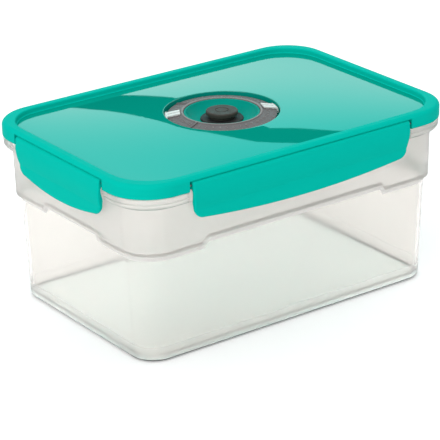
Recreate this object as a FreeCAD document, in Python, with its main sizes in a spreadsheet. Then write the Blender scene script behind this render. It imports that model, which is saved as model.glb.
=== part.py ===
import FreeCAD, Part
import math
import os
import re
import Sketcher

# A food canister with a lid that four hinged latches hold down, a vacuum valve and a date dial in the lid.
# Millimetres. The origin is under the middle of the tub's foot, +X runs along the long side,
# -Y is the long front and +Z is up.

doc = FreeCAD.newDocument("vacuum_canister")
sheet = doc.addObject("Spreadsheet::Sheet", "Sizes")

# Driving sizes. An inset is measured inwards from the outer side of the lid's skirt.
SIZES = [
    ("lid_length", 206, "lid, outer length"),
    ("lid_width", 142, "lid, outer width"),
    ("lid_corner", 24, "lid, outer corner radius in plan"),
    ("tub_height", 93.6, "top of the tub's lip above the ground"),
    ("gasket_height", 2, "gasket, as squeezed between the lip and the lid"),
    ("rim_roof", 4.4, "lid rim above the gasket"),
    ("rim_width", 5.5, "lid rim, from the outside to the recessed panel"),
    ("rim_round", 2.4, "rounding of the rim's outer edge"),
    ("rim_inner_round", 0.9, "rounding of the rim's inner edge"),
    ("skirt_drop", 7.6, "from the rim's top down to the skirt's lower edge"),
    ("skirt_wall", 4.4, "skirt, from the outside to the gasket channel"),
    ("channel_width", 3.3, "gasket channel"),
    ("plug_wall", 1.6, "inner wall of the gasket channel"),
    ("panel_dip", 0.3, "middle of the panel below the rim's top"),
    ("crown_rise", 2.7, "rise of the panel from its edges to its middle"),
    ("panel_wall", 2, "thickness of the lid's panel"),
    ("gasket_clearance", 0.1, "gasket to the channel's sides"),
    ("lip_clearance", 0.5, "tub's lip to the channel's outer side"),
    ("tub_wall", 1.8, "tub's wall and floor"),
    ("foot_inset", 10.4, "tub's foot"),
    ("foot_round", 2.2, "rounding round the foot"),
    ("foot_ring", 6, "width of the ring that the tub stands on"),
    ("foot_rise", 1.2, "tub's floor above the ring"),
    ("waist_inset", 7.9, "tub's lower wall, just under its shoulder"),
    ("band_inset", 5.5, "tub's upper wall, just over its shoulder"),
    ("shoulder_height", 56.6, "lower edge of the shoulder at the corners"),
    ("shoulder_drop", 2.6, "height of the shoulder's slope"),
    ("shoulder_raise", 3.3, "how much higher the shoulder runs along each side's middle"),
    ("long_jog", 57, "half the raised stretch on a long side"),
    ("short_jog", 25, "half the raised stretch on a short side"),
    ("jog_run", 3, "length of the slant between low and raised shoulder"),
    ("flange_gap", 0.4, "tub's flange under the skirt"),
    ("flange_height", 7, "tub's flange, with its sloping underside"),
    ("flange_inset", 0.3, "outer edge of the flange"),
    ("catch_inset", 3.2, "flange's edge behind a latch"),
    ("hinge_drop", 4.6, "latch hinge below the rim's top"),
    ("hinge_inset", 1.25, "latch hinge, in from the skirt's outside"),
    ("pin_radius", 0.6, "hinge pin"),
    ("pin_clearance", 0.05, "hinge pin in its bores"),
    ("pin_seat", 4, "hinge pin's hold in the skirt at each end"),
    ("barrel_radius", 1.7, "latch's hinge barrel"),
    ("barrel_clearance", 0.4, "barrel to the lid"),
    ("notch_slope_share", 0.4, "rise of the notch's roof to its run outwards"),
    ("latch_long_half", 69.6, "half a long latch"),
    ("latch_short_half", 39.8, "half a short latch"),
    ("latch_end_gap", 1, "latch's ends to the skirt"),
    ("latch_brow", 1.95, "latch's face outside its hinge, at the top"),
    ("latch_proud", 1.2, "latch's face outside the skirt"),
    ("latch_straight", 4.4, "upright part of the latch's face and ends, below the hinge"),
    ("latch_tuck", 1.5, "how far the face curves in from there to the crease"),
    ("latch_curve", 28, "radius of that curve"),
    ("latch_wall", 1.8, "latch's thickness"),
    ("latch_height", 21.6, "from the hinge to the latch's lowest edge"),
    ("latch_crease", 13.1, "from the hinge to the crease over the pull lip"),
    ("latch_bow", 3.4, "how far the latch's lower edge bows down"),
    ("latch_corner", 5.5, "latch's lower corners"),
    ("latch_taper", 1.2, "each latch end, narrower at the lower corner"),
    ("lip_flare", 0.6, "pull lip's edge outside the crease"),
    ("lip_edge", 1.2, "pull lip's thickness at its edge"),
    ("hook_bite", 0.5, "latch's hook under the flange, with the latch pressed home"),
    ("hook_clear", 0.2, "hook outside the flange, with the latch at rest"),
    ("hook_gap", 0.5, "hook below the flange"),
    ("hook_nose", 0.8, "hook's upright tip"),
    ("well_radius", 30.8, "dial's well in the panel"),
    ("well_depth", 4, "dial's well"),
    ("well_wall", 2, "lid's wall round and under the well"),
    ("hub_radius", 20.2, "lid's hub inside the dial"),
    ("hub_drop", 0.9, "hub's top below the panel's middle"),
    ("hub_land", 1, "width of the hub's top"),
    ("dish_depth", 4.2, "dish in the hub"),
    ("dish_floor_radius", 12.6, "flat floor of the dish"),
    ("dish_curve", 8.5, "radius of the dish's curved side"),
    ("ring_clearance", 0.2, "dial ring on the hub"),
    ("ring_radius", 29.2, "dial ring, outside"),
    ("ring_edge", 1.8, "dial ring's height at its outside"),
    ("ring_crest", 3.6, "dial ring's height at its inner lip"),
    ("ring_lip", 1.2, "width of the inner lip"),
    ("ring_lip_step", 0.4, "inner lip above the scale"),
    ("ring_rebate", 1.1, "height of the rebate under the ring's edge"),
    ("ring_rebate_width", 2.8, "width of that rebate"),
    ("divider_width", 1.2, "stop between the two scales"),
    ("divider_height", 0.55, "stop above the scale"),
    ("divider_first_angle", 110, "first stop round the dial"),
    ("divider_second_angle", 197.5, "second stop round the dial"),
    ("month_angle", 149.5, "month pointer round the dial"),
    ("day_angle", -20, "day pointer round the dial"),
    ("pointer_wall", 0.8, "pointer's thickness"),
    ("pointer_clearance", 0.25, "pointer to the ring and the well"),
    ("pointer_reach", 6.9, "pointer's length over the scale"),
    ("pointer_width", 6.4, "pointer's bars together"),
    ("pointer_slit", 0.9, "slit between the bars"),
    ("pointer_flange", 9.6, "pointer's outer flange, along the edge"),
    ("pointer_foot", 2.2, "pointer's foot under the ring"),
    ("knob_radius", 8.5, "valve knob"),
    ("knob_height", 4, "valve knob above its seal"),
    ("knob_round", 0.8, "rounding of the knob's edge"),
    ("knob_cap", 2.1, "height of the knob's cap over its neck"),
    ("knob_neck", 6.6, "knob's neck, between the cap and the seal"),
    ("knob_groove_radius", 3.4, "ring groove on the knob"),
    ("knob_groove_width", 0.7, "ring groove, across"),
    ("knob_groove_depth", 0.4, "ring groove, down"),
    ("seal_radius", 11.5, "valve seal"),
    ("seal_height", 1, "valve seal"),
    ("stem_radius", 2.5, "valve stem"),
    ("stem_clearance", 0.05, "valve stem in the lid"),
    ("stem_tail", 1, "stem below its retainer"),
    ("valve_travel", 2.5, "lift of the valve"),
    ("valve_rest_gap", 0.2, "retainer to the lid with the valve lifted"),
    ("retainer_radius", 5, "retainer on the stem"),
    ("retainer_height", 1.5, "retainer on the stem"),
    ("air_hole_radius", 0.8, "air hole under the seal"),
    ("air_hole_circle", 6.5, "circle of the air holes"),
    ("overrun", 2, "how far a cutting shape runs past what it cuts"),
]

# Places that several pieces share, worked out from the sizes.
PLACES = {
    "lid_top": "tub_height + gasket_height + rim_roof",
    "skirt_bottom": "lid_top - skirt_drop",
    "channel_roof": "tub_height + gasket_height",
    "channel_inset": "skirt_wall + channel_width",
    "plug_inset": "channel_inset + plug_wall",
    "lip_inset": "skirt_wall + lip_clearance",
    "raised_top": "shoulder_height + shoulder_raise + 2 * shoulder_drop",
    "panel_top": "lid_top - panel_dip",
    "well_floor": "panel_top - well_depth",
    "hub_top": "panel_top - hub_drop",
    "dish_floor": "hub_top - dish_depth",
    "dish_under": "dish_floor - panel_wall",
    "hinge_height": "lid_top - hinge_drop",
    "notch_inset": "hinge_inset + barrel_radius + barrel_clearance",
    "notch_roof": "hinge_height + barrel_radius + barrel_clearance",
    "pin_bore": "pin_radius + pin_clearance",
    "flange_top": "skirt_bottom - flange_gap",
    "flange_bottom": "flange_top - flange_height",
    "crease_height": "hinge_height - latch_crease",
    "latch_bottom": "hinge_height - latch_height",
    "latch_inner": "latch_wall - latch_proud",
    "ring_bore": "hub_radius + ring_clearance",
    "ring_scale": "well_floor + ring_crest - ring_lip_step",
    "pointer_bore": "ring_radius + pointer_clearance",
    "pointer_outside": "pointer_bore + pointer_wall",
    "seal_top": "dish_floor + seal_height",
    "retainer_top": "dish_under - valve_travel - valve_rest_gap",
    "retainer_bottom": "retainer_top - retainer_height",
}

# The flange's outline: share of its height from below, and share of its reach out of the wall.
FLANGE_SHARES = [
    (0, 0), (0.3, 0.82), (0.42, 0.94), (0.58, 0.94), (0.63, 0.8), (0.69, 0.97), (0.95, 1), (1, 0.9),
]

AIR_HOLES = 4
# Two places nearer than this are the same place.
TOUCH = 1e-4
FULL_TURN = 360
HALF_TURN = 180
QUARTER_TURN = 90
UP = FreeCAD.Vector(0, 0, 1)
WORD = re.compile(r"[a-z_]+")
SIZE_NAMES = [name for name, value, note in SIZES]

for row, (name, value, note) in enumerate(SIZES, start=1):
    sheet.set(f"A{row}", name)
    sheet.set(f"B{row}", str(value))
    sheet.set(f"C{row}", note)
    sheet.setAlias(f"B{row}", name)
doc.recompute()


def formula(text):
    """The expression that reads the named sizes and places from the sheet."""
    def cell(match):
        word = match.group()
        if word in PLACES:
            return "(" + formula(PLACES[word]) + ")"
        return "Sizes." + word if word in SIZE_NAMES else word
    return WORD.sub(cell, text)


def number(text):
    """The present value of a formula."""
    return float(sheet.evalExpression(formula(text)))


def bind(item, **formulas):
    """Tie properties of an object to the sheet."""
    for name, text in formulas.items():
        item.setExpression(name, formula(text))
    return item


def place(item, x="0", y="0", z="0", turn=0):
    """Put an object at a place tied to the sheet, turned about the vertical."""
    item.Placement = FreeCAD.Placement(FreeCAD.Vector(), FreeCAD.Rotation(UP, turn))
    for name, text in (("x", x), ("y", y), ("z", z)):
        item.setExpression("Placement.Base." + name, formula(text))
    return item


def constrain(sketch, kind, *where, value):
    """A sketch dimension tied to the sheet."""
    index = sketch.addConstraint(Sketcher.Constraint(kind, *where, number(value)))
    sketch.setExpression(f"Constraints[{index}]", formula(value))


def rounded(name, inset, height):
    """The lid's rounded outline in plan, drawn in by an inset, at a height."""
    sketch = doc.addObject("Sketcher::SketchObject", name)
    half_x = number("lid_length / 2 - lid_corner")
    half_y = number("lid_width / 2 - lid_corner")
    radius = number(f"lid_corner - ({inset})")
    arcs = []
    for turn, (side_x, side_y) in enumerate(((1, 1), (-1, 1), (-1, -1), (1, -1))):
        circle = Part.Circle(FreeCAD.Vector(side_x * half_x, side_y * half_y, 0), UP, radius)
        start = math.radians(QUARTER_TURN * turn)
        arcs.append(Part.ArcOfCircle(circle, start, start + math.radians(QUARTER_TURN)))
    sketch.addGeometry(arcs)
    sides = [Part.LineSegment(arcs[i].EndPoint, arcs[(i + 1) % 4].StartPoint) for i in range(4)]
    sketch.addGeometry(sides)
    for i in range(4):
        sketch.addConstraint(Sketcher.Constraint("Tangent", i, 2, 4 + i, 1))
        sketch.addConstraint(Sketcher.Constraint("Tangent", 4 + i, 2, (i + 1) % 4, 1))
        sketch.addConstraint(Sketcher.Constraint("Vertical" if i % 2 else "Horizontal", 4 + i))
    for i in range(1, 4):
        sketch.addConstraint(Sketcher.Constraint("Equal", 0, i))
    sketch.addConstraint(Sketcher.Constraint("Symmetric", 0, 3, 2, 3, -1, 1))
    constrain(sketch, "Radius", 0, value=f"lid_corner - ({inset})")
    constrain(sketch, "DistanceX", 1, 3, 0, 3, value="lid_length - 2 * lid_corner")
    constrain(sketch, "DistanceY", 3, 3, 0, 3, value="lid_width - 2 * lid_corner")
    return place(sketch, z=height)


def loft(name, stations):
    """A solid through rounded outlines, each given as inset and height, from the lowest up."""
    item = doc.addObject("Part::Loft", name)
    item.Sections = [rounded(f"{name}Outline{i}", *station) for i, station in enumerate(stations)]
    item.Solid = True
    item.Ruled = True
    return item


def outline(name, points, upright):
    """A closed sketch through points given as formulas. A third formula makes the stretch that leads to its
    point an arc of that radius, with its centre to the left of the way there, or to the right if negative."""
    sketch = doc.addObject("Sketcher::SketchObject", name)
    spots = [FreeCAD.Vector(number(point[0]), number(point[1]), 0) for point in points]
    for i, point in enumerate(points):
        start, end = spots[i - 1], spots[i]
        if len(point) == 2:
            sketch.addGeometry(Part.LineSegment(start, end))
            continue
        chord = end - start
        radius = number(point[2])
        rise = math.sqrt(radius ** 2 - chord.Length ** 2 / 4)
        left = UP.cross(chord).normalize()
        middle = start + chord / 2
        bulge = middle - left * math.copysign(abs(radius) - rise, radius)
        if radius < 0:
            start, end = end, start
        sketch.addGeometry(Part.Arc(start, bulge, end))
    count = len(points)
    ends = []
    for i, point in enumerate(points):
        curve = sketch.Geometry[i]
        forward = curve.StartPoint.distanceToPoint(spots[i - 1]) < curve.StartPoint.distanceToPoint(spots[i])
        ends.append((1, 2) if forward else (2, 1))
    for i, point in enumerate(points):
        following = (i + 1) % count
        sketch.addConstraint(Sketcher.Constraint("Coincident", i, ends[i][1], following, ends[following][0]))
    for i, point in enumerate(points):
        for axis, kind, text in ((-2, "DistanceX", point[0]), (-1, "DistanceY", point[1])):
            if text == "0":
                sketch.addConstraint(Sketcher.Constraint("PointOnObject", i, ends[i][1], axis))
            else:
                constrain(sketch, kind, -1, 1, i, ends[i][1], value=text)
        if len(point) > 2:
            constrain(sketch, "Radius", i, value=f"abs({point[2]})")
    if upright == "side":
        sketch.Placement.Rotation = FreeCAD.Rotation(FreeCAD.Vector(1, 1, 1), FULL_TURN / 3)
    else:
        sketch.Placement.Rotation = FreeCAD.Rotation(FreeCAD.Vector(1, 0, 0), QUARTER_TURN)
    return sketch


def extruded(name, sketch, direction, forward, back):
    """A sketch drawn out both ways along a direction."""
    item = doc.addObject("Part::Extrusion", name)
    item.Base = sketch
    item.DirMode = "Custom"
    item.Dir = direction
    item.Solid = True
    return bind(item, LengthFwd=forward, LengthRev=back)


def turned(name, points):
    """A solid of revolution about the vertical from points given as radius and height."""
    item = doc.addObject("Part::Revolution", name)
    item.Source = outline(name + "Profile", points, "front")
    item.Axis = UP
    item.Angle = FULL_TURN
    item.Solid = True
    return item


def cylinder(name, radius, height, bottom):
    """An upright cylinder on the dial's axis."""
    item = doc.addObject("Part::Cylinder", name)
    return place(bind(item, Radius=radius, Height=height), z=bottom)


def joined(name, *pieces):
    """Several shapes as one solid."""
    item = doc.addObject("Part::MultiFuse", name)
    item.Shapes = list(pieces)
    item.Refine = True
    return item


def shared(name, *pieces):
    """What several shapes have in common."""
    item = doc.addObject("Part::MultiCommon", name)
    item.Shapes = list(pieces)
    return item


def cut(name, base, *tools):
    """A shape less others."""
    item = doc.addObject("Part::Cut", name)
    item.Base = base
    item.Tool = tools[0] if len(tools) == 1 else joined(name + "Tools", *tools)
    item.Refine = True
    return item


def body(label, base):
    """A piece of the canister, ready for its roundings."""
    item = doc.addObject("PartDesign::Body", label)
    item.Label = label
    item.BaseFeature = base
    doc.recompute()
    return item


def rounding(piece, name, radius, wanted):
    """Round the edges of a piece that a test picks."""
    base = piece.Tip
    edges = [f"Edge{i}" for i, edge in enumerate(base.Shape.Edges, start=1) if wanted(edge)]
    item = piece.newObject("PartDesign::Fillet", name)
    item.Base = (base, edges)
    bind(item, Radius=radius)
    doc.recompute()
    return item


def level(edge, height):
    """Whether an edge lies flat at a height."""
    box = edge.BoundBox
    return abs(box.ZMin - height) < TOUCH and abs(box.ZMax - height) < TOUCH


def along_outline(edge, inset):
    """Whether an edge follows the rounded outline at an inset."""
    if edge.Curve.TypeId == "Part::GeomCircle":
        return abs(edge.Curve.Radius - number(f"lid_corner - {inset}")) < TOUCH
    middle = edge.CenterOfMass
    return (abs(abs(middle.x) - number(f"lid_length / 2 - {inset}")) < TOUCH
            or abs(abs(middle.y) - number(f"lid_width / 2 - {inset}")) < TOUCH)


# The four sides: name, turn about the vertical, place of the skirt's outside, and half the latch there.
SIDES = [
    ("front", 0, {"y": "-lid_width / 2"}, "latch_long_half", "long_jog"),
    ("right", QUARTER_TURN, {"x": "lid_length / 2"}, "latch_short_half", "short_jog"),
    ("back", HALF_TURN, {"y": "lid_width / 2"}, "latch_long_half", "long_jog"),
    ("left", -QUARTER_TURN, {"x": "-lid_length / 2"}, "latch_short_half", "short_jog"),
]


def hinge_rod(name, radius, half):
    """A cylinder on a latch's hinge axis, in the front's frame."""
    item = doc.addObject("Part::Cylinder", name)
    bind(item, Radius=radius, Height=f"2 * ({half})")
    item.Placement.Rotation = FreeCAD.Rotation(FreeCAD.Vector(0, 1, 0), QUARTER_TURN)
    for axis, text in (("x", f"-({half})"), ("y", "hinge_inset"), ("z", "hinge_height")):
        item.setExpression("Placement.Base." + axis, formula(text))
    return item


def held(name, piece):
    """A shape kept where it is, inside a holder that can be carried elsewhere."""
    item = doc.addObject("Part::Compound", name)
    item.Links = [piece]
    return item


def at_side(item, side):
    """A shape made in the front's frame, carried round to a side."""
    return place(item, turn=side[1], **side[2])


def make_tub():
    """The tub: a drafted box with a shoulder that jogs up along each side, a flange and a foot ring."""
    wall = loft("TubWall", [
        ("foot_inset", "0"),
        ("waist_inset", "shoulder_height"),
        ("band_inset", "shoulder_height + shoulder_drop"),
        ("lip_inset", "tub_height"),
    ])
    # Along each side's middle the lower wall runs on up, and slopes out through the upper wall further up.
    draft = "(foot_inset - waist_inset) / shoulder_height"
    raised_inset = f"(waist_inset - {draft} * shoulder_raise)"
    core = loft("TubCore", [
        (f"waist_inset + {draft} * overrun", "shoulder_height - overrun"),
        (raised_inset, "shoulder_height + shoulder_raise"),
        (f"{raised_inset} - 2 * (waist_inset - band_inset)", "raised_top"),
    ])
    windows = []
    for side in SIDES:
        jog = side[4]
        reach = "jog_run * (raised_top - shoulder_height) / shoulder_raise"
        profile = outline("Jog" + side[0], [
            (f"-{jog} - jog_run / 2", "shoulder_height"),
            (f"{jog} + jog_run / 2", "shoulder_height"),
            (f"{jog} + jog_run / 2 - {reach}", "raised_top"),
            (f"-{jog} - jog_run / 2 + {reach}", "raised_top"),
        ], "front")
        window = extruded("JogWindow" + side[0], profile, FreeCAD.Vector(0, 1, 0),
                          "waist_inset + overrun", "overrun")
        windows.append(at_side(held("JogCut" + side[0], window), side))
    jogged = cut("TubJogged", wall, cut("TubJogs", joined("JogCuts", *windows), core))
    reach = "(lip_inset - flange_inset)"
    flange = loft("TubFlange", [
        (f"lip_inset - {reach} * {out}", f"flange_bottom + flange_height * {up}")
        for up, out in FLANGE_SHARES
    ])
    ledges = []
    for side in SIDES:
        half = f"{side[3]} + latch_end_gap"
        ledge = doc.addObject("Part::Box", "Ledge" + side[0])
        bind(ledge, Length=f"2 * ({half})", Width="catch_inset + overrun", Height="flange_height + overrun")
        place(ledge, x=f"-({half})", y="-overrun", z="flange_bottom")
        ledges.append(at_side(held("LedgeCut" + side[0], ledge), side))
    outside = joined("TubOutside", jogged, cut("TubCatch", flange, *ledges))
    hollow = loft("TubHollow", [
        ("foot_inset + tub_wall", "foot_rise + tub_wall"),
        ("waist_inset + tub_wall", "shoulder_height + shoulder_raise + tub_wall"),
        ("band_inset + tub_wall", "shoulder_height + shoulder_raise + shoulder_drop + tub_wall"),
        ("lip_inset + tub_wall", "tub_height + overrun"),
    ])
    moat = cut("TubMoat",
               loft("MoatOuter", [("foot_inset + tub_wall + foot_round / 2", "tub_wall"),
                                  ("foot_inset + tub_wall", "foot_rise + tub_wall + overrun")]),
               loft("MoatInner", [("foot_inset + foot_ring", "0"),
                                  ("foot_inset + foot_ring", "foot_rise + tub_wall + 2 * overrun")]))
    under = loft("TubUnder", [("foot_inset + foot_ring + tub_wall", "-overrun"),
                              ("foot_inset + foot_ring + tub_wall", "foot_rise")])
    shell = cut("TubShell", outside, hollow, moat, under)
    tub = body("tub", shell)
    rounding(tub, "FootRounding", "foot_round",
             lambda edge: level(edge, 0) and along_outline(edge, "foot_inset"))
    return tub


def crown(name, drop):
    """The panel's crowned face: a parabola along and across, at rest height along the panel's edges."""
    half_x = number("lid_length / 2 - rim_width + overrun")
    half_y = number("lid_width / 2 - rim_width + overrun")
    low = number(f"panel_top - crown_rise - ({drop})")
    rise = number("crown_rise")
    pull_shares = (0, 2, 0)
    surface = Part.BezierSurface()
    surface.increase(2, 2)
    for i, across in enumerate((-1, 0, 1)):
        for j, along in enumerate((-1, 0, 1)):
            height = low + rise * pull_shares[i] * pull_shares[j]
            surface.setPole(i + 1, j + 1, FreeCAD.Vector(across * half_x, along * half_y, height))
    item = doc.addObject("Part::Feature", name)
    item.Shape = surface.toShape()
    return item


def make_lid():
    """The lid: a rim with a skirt, a crowned panel, a gasket channel, the dial's well and a dish."""
    block = body("LidBlock", loft("LidBlank", [("0", "skirt_bottom"), ("0", "lid_top")]))
    rounding(block, "RimRounding", "rim_round", lambda edge: level(edge, number("lid_top")))
    recess = shared("PanelRecess",
                    loft("RecessPrism", [("rim_width", "skirt_bottom"),
                                         ("rim_width", "lid_top + overrun")]),
                    extruded("AboveCrown", crown("CrownTop", "0"), UP, "skirt_drop", "0"))
    hollow = shared("PanelHollow",
                    loft("HollowPrism", [("plug_inset", "skirt_bottom - overrun"),
                                         ("plug_inset", "lid_top")]),
                    extruded("BelowCrown", crown("CrownUnder", "panel_wall"), UP, "0", "2 * skirt_drop"))
    channel = cut("GasketChannel",
                  loft("ChannelOuter", [("skirt_wall", "skirt_bottom - overrun"),
                                        ("skirt_wall", "channel_roof")]),
                  loft("ChannelInner", [("channel_inset", "skirt_bottom - 2 * overrun"),
                                        ("channel_inset", "channel_roof + overrun")]))
    well = cylinder("DialWell", "well_radius", "well_depth + overrun", "well_floor")
    plate = cut("LidPlate", block, recess, hollow, channel, well)
    hub = turned("LidHub", [
        ("stem_radius + stem_clearance", "dish_under"),
        ("stem_radius + stem_clearance", "dish_floor"),
        ("dish_floor_radius", "dish_floor"),
        ("hub_radius - hub_land", "hub_top", "dish_curve"),
        ("hub_radius", "hub_top"),
        ("hub_radius", "well_floor"),
        ("well_radius", "well_floor"),
        ("well_radius", "panel_top - panel_wall"),
        ("well_radius + well_wall", "panel_top - panel_wall"),
        ("well_radius + well_wall", "well_floor - well_wall"),
        ("hub_radius - panel_wall", "well_floor - well_wall"),
        ("dish_floor_radius + panel_wall / 2", "dish_under"),
    ])
    tools = []
    for side in SIDES:
        half = f"{side[3]} + latch_end_gap"
        profile = outline("Notch" + side[0], [
            ("-overrun", "skirt_bottom - overrun"),
            ("notch_inset", "skirt_bottom - overrun"),
            ("notch_inset", "hinge_height + barrel_radius"),
            ("notch_inset - barrel_clearance", "notch_roof"),
            ("hinge_inset", "notch_roof"),
            ("-overrun", "notch_roof + notch_slope_share * (hinge_inset + overrun)"),
        ], "side")
        notch = extruded("NotchBlock" + side[0], profile, FreeCAD.Vector(1, 0, 0), half, half)
        bore = hinge_rod("PinBore" + side[0], "pin_bore", f"{half} + pin_seat")
        tools.append(at_side(held("NotchCut" + side[0], notch), side))
        tools.append(at_side(held("PinBoreCut" + side[0], bore), side))
    for i in range(AIR_HOLES):
        hole = cylinder(f"AirHole{i}", "air_hole_radius", "panel_wall + 2 * overrun", "dish_under - overrun")
        angle = QUARTER_TURN / 2 + FULL_TURN * i / AIR_HOLES
        place(hole, x=f"air_hole_circle * cos({angle})", y=f"air_hole_circle * sin({angle})",
              z="dish_under - overrun")
        tools.append(hole)
    lid = body("lid", cut("LidCut", joined("LidWhole", plate, hub), *tools))
    top = number("lid_top")
    rounding(lid, "RimInnerRounding", "rim_inner_round",
             lambda edge: level(edge, top) and along_outline(edge, "rim_width"))
    return lid


def make_gasket():
    """The silicone gasket that fills the channel over the tub's lip."""
    outer = loft("GasketOuter", [("skirt_wall + gasket_clearance", "tub_height"),
                                 ("skirt_wall + gasket_clearance", "channel_roof")])
    inner = loft("GasketInner", [("channel_inset - gasket_clearance", "tub_height - overrun"),
                                 ("channel_inset - gasket_clearance", "channel_roof + overrun")])
    return body("lid_gasket", cut("GasketRing", outer, inner))


def make_latch(side):
    """A latch: hinge barrel, flat face with a hook inside, and a flared pull lip under a crease."""
    name, turn, spot, half, jog = side
    catch_underside = "flange_bottom + flange_height * %g" % FLANGE_SHARES[1][0]
    slope = "(%g * flange_height) / (%g * (lip_inset - flange_inset))" % FLANGE_SHARES[1]
    start = "(lip_inset - (lip_inset - flange_inset) * %g)" % FLANGE_SHARES[1][1]
    hook_tip = "catch_inset - hook_clear"
    hook_top = f"({catch_underside} - {slope} * (catch_inset + hook_bite - {start}) - hook_gap)"
    face_bottom = "hinge_height - latch_straight"
    section = outline("LatchSection" + name, [
        ("hinge_inset", "hinge_height + barrel_radius"),
        ("hinge_inset - latch_brow", "hinge_height", "latch_brow"),
        ("-latch_proud", face_bottom),
        ("-latch_proud + latch_tuck", "crease_height", "latch_curve"),
        ("-latch_proud + latch_tuck - lip_flare", "latch_bottom"),
        ("-latch_proud + latch_tuck - lip_flare + lip_edge", "latch_bottom"),
        ("latch_inner + latch_tuck", "crease_height"),
        ("latch_inner + latch_tuck", f"{hook_top} - 2 * hook_nose"),
        (hook_tip, f"{hook_top} - hook_nose"),
        (hook_tip, hook_top),
        ("latch_inner + latch_tuck", f"{hook_top} + hook_nose"),
        ("latch_inner", face_bottom, "-(latch_curve - latch_wall)"),
        ("latch_inner", "hinge_height - 2 * barrel_radius"),
        ("hinge_inset + barrel_radius / 2", "hinge_height - barrel_radius / 2"),
        ("hinge_inset", "hinge_height"),
    ], "side")
    strip = extruded("LatchStrip" + name, section, FreeCAD.Vector(1, 0, 0), half, half)
    barrel = hinge_rod("LatchBarrel" + name, "barrel_radius", half)
    bore = hinge_rod("LatchBore" + name, "pin_bore", f"{half} + overrun")
    low_half = f"{half} - latch_taper - latch_corner"
    bow_radius = f"(({low_half}) ^ 2 + latch_bow ^ 2) / (2 * latch_bow)"
    face = outline("LatchFace" + name, [
        (f"-{half}", "hinge_height + 2 * barrel_radius"),
        (f"-{half}", face_bottom),
        (f"-{half} + latch_taper", "latch_bottom + latch_bow + latch_corner"),
        (f"-({low_half})", "latch_bottom + latch_bow", "latch_corner"),
        (low_half, "latch_bottom + latch_bow", bow_radius),
        (f"{half} - latch_taper", "latch_bottom + latch_bow + latch_corner", "latch_corner"),
        (half, face_bottom),
        (half, "hinge_height + 2 * barrel_radius"),
    ], "front")
    front = extruded("LatchOutline" + name, face, FreeCAD.Vector(0, 1, 0), "skirt_drop", "skirt_drop")
    blank = shared("LatchBlank" + name, joined("LatchWhole" + name, strip, barrel), front)
    return at_side(body("latch_" + name, cut("LatchMade" + name, blank, bore)), side)


def make_pin(side):
    """A hinge pin through a latch's barrel, held in the skirt at both ends."""
    name, turn, spot, half, jog = side
    rod = hinge_rod("PinRod" + name, "pin_radius", f"{half} + latch_end_gap + pin_seat")
    return at_side(body("hinge_pin_" + name, held("Pin" + name, rod)), side)


def ring_cone(name, lift):
    """The dial ring's solid up to its sloping scale, or a little above it."""
    return turned(name, [
        ("ring_bore", "well_floor"),
        ("ring_radius - ring_rebate_width", "well_floor"),
        ("ring_radius - ring_rebate_width", "well_floor + ring_rebate"),
        ("ring_radius", "well_floor + ring_rebate"),
        ("ring_radius", f"well_floor + ring_edge + {lift}"),
        ("ring_bore + ring_lip", f"ring_scale + {lift}"),
        ("ring_bore", f"ring_scale + {lift}"),
    ])


def sector(name, width, angle, inner, outer):
    """A radial block on the dial, as wide as given, tall enough for any piece of it."""
    item = doc.addObject("Part::Box", name)
    bind(item, Length=f"{outer} - ({inner})", Width=width, Height="2 * well_depth")
    place(item, x=inner, y=f"-({width}) / 2", z="well_floor - overrun")
    spun = doc.addObject("Part::Compound", name + "At")
    spun.Links = [item]
    spun.Placement.Rotation.Axis = UP
    spun.setExpression("Placement.Rotation.Angle", formula(angle))
    return spun


def make_ring():
    """The dial ring with its two scales, a smooth inner lip and two stops between the scales."""
    lip = turned("RingLip", [
        ("ring_bore", "well_floor"),
        ("ring_bore + ring_lip", "well_floor"),
        ("ring_bore + ring_lip", "well_floor + ring_crest - ring_lip_step / 2"),
        ("ring_bore + ring_lip / 2", "well_floor + ring_crest"),
        ("ring_bore", "well_floor + ring_crest - ring_lip_step / 2"),
    ])
    stops = []
    for word in ("first", "second"):
        angle = f"divider_{word}_angle"
        block = sector("StopBlock" + word, "divider_width", angle, "ring_bore", "well_radius")
        stops.append(shared("Stop" + word, ring_cone("StopCone" + word, "divider_height"), block))
    return body("dial_ring", joined("RingWhole", ring_cone("RingCone", "0"), lip, *stops))


def make_pointer(label, angle):
    """A pointer: two bars over the scale and a flange round the ring's edge, clipped under it."""
    slope = "(ring_scale - well_floor - ring_edge) / (ring_radius - ring_bore - ring_lip)"
    inner = "(ring_radius - pointer_reach)"
    edge_top = "(well_floor + ring_edge + pointer_clearance)"
    inner_top = f"({edge_top} + {slope} * pointer_reach)"
    outer_top = f"({edge_top} - {slope} * pointer_clearance)"
    bars = turned(label + "Bars", [
        (inner, inner_top),
        ("pointer_bore", outer_top),
        ("pointer_outside", outer_top),
        ("pointer_outside", f"{outer_top} + pointer_wall / 2"),
        ("pointer_bore", f"{outer_top} + pointer_wall"),
        (inner, f"{inner_top} + pointer_wall"),
    ])
    foot_low = "well_floor + pointer_clearance"
    foot_high = "well_floor + ring_rebate - pointer_clearance"
    clip = turned(label + "Clip", [
        ("pointer_outside - pointer_foot - pointer_wall", foot_low),
        ("pointer_outside", foot_low),
        ("pointer_outside", f"{outer_top} + pointer_wall / 2"),
        ("pointer_bore", f"{outer_top} + pointer_wall"),
        ("pointer_bore", foot_high),
        ("pointer_outside - pointer_foot - pointer_wall", foot_high),
    ])
    bar_block = sector(label + "BarBlock", "pointer_width", angle, inner, "well_radius")
    clip_block = sector(label + "ClipBlock", "pointer_flange", angle, inner, "well_radius")
    slit = sector(label + "Slit", "pointer_slit", angle, f"{inner} - overrun", "pointer_bore - pointer_wall")
    whole = joined(label + "Whole", shared(label + "BarPair", bars, bar_block),
                   shared(label + "ClipArc", clip, clip_block))
    return body(label, cut(label + "Cut", whole, slit))


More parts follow.
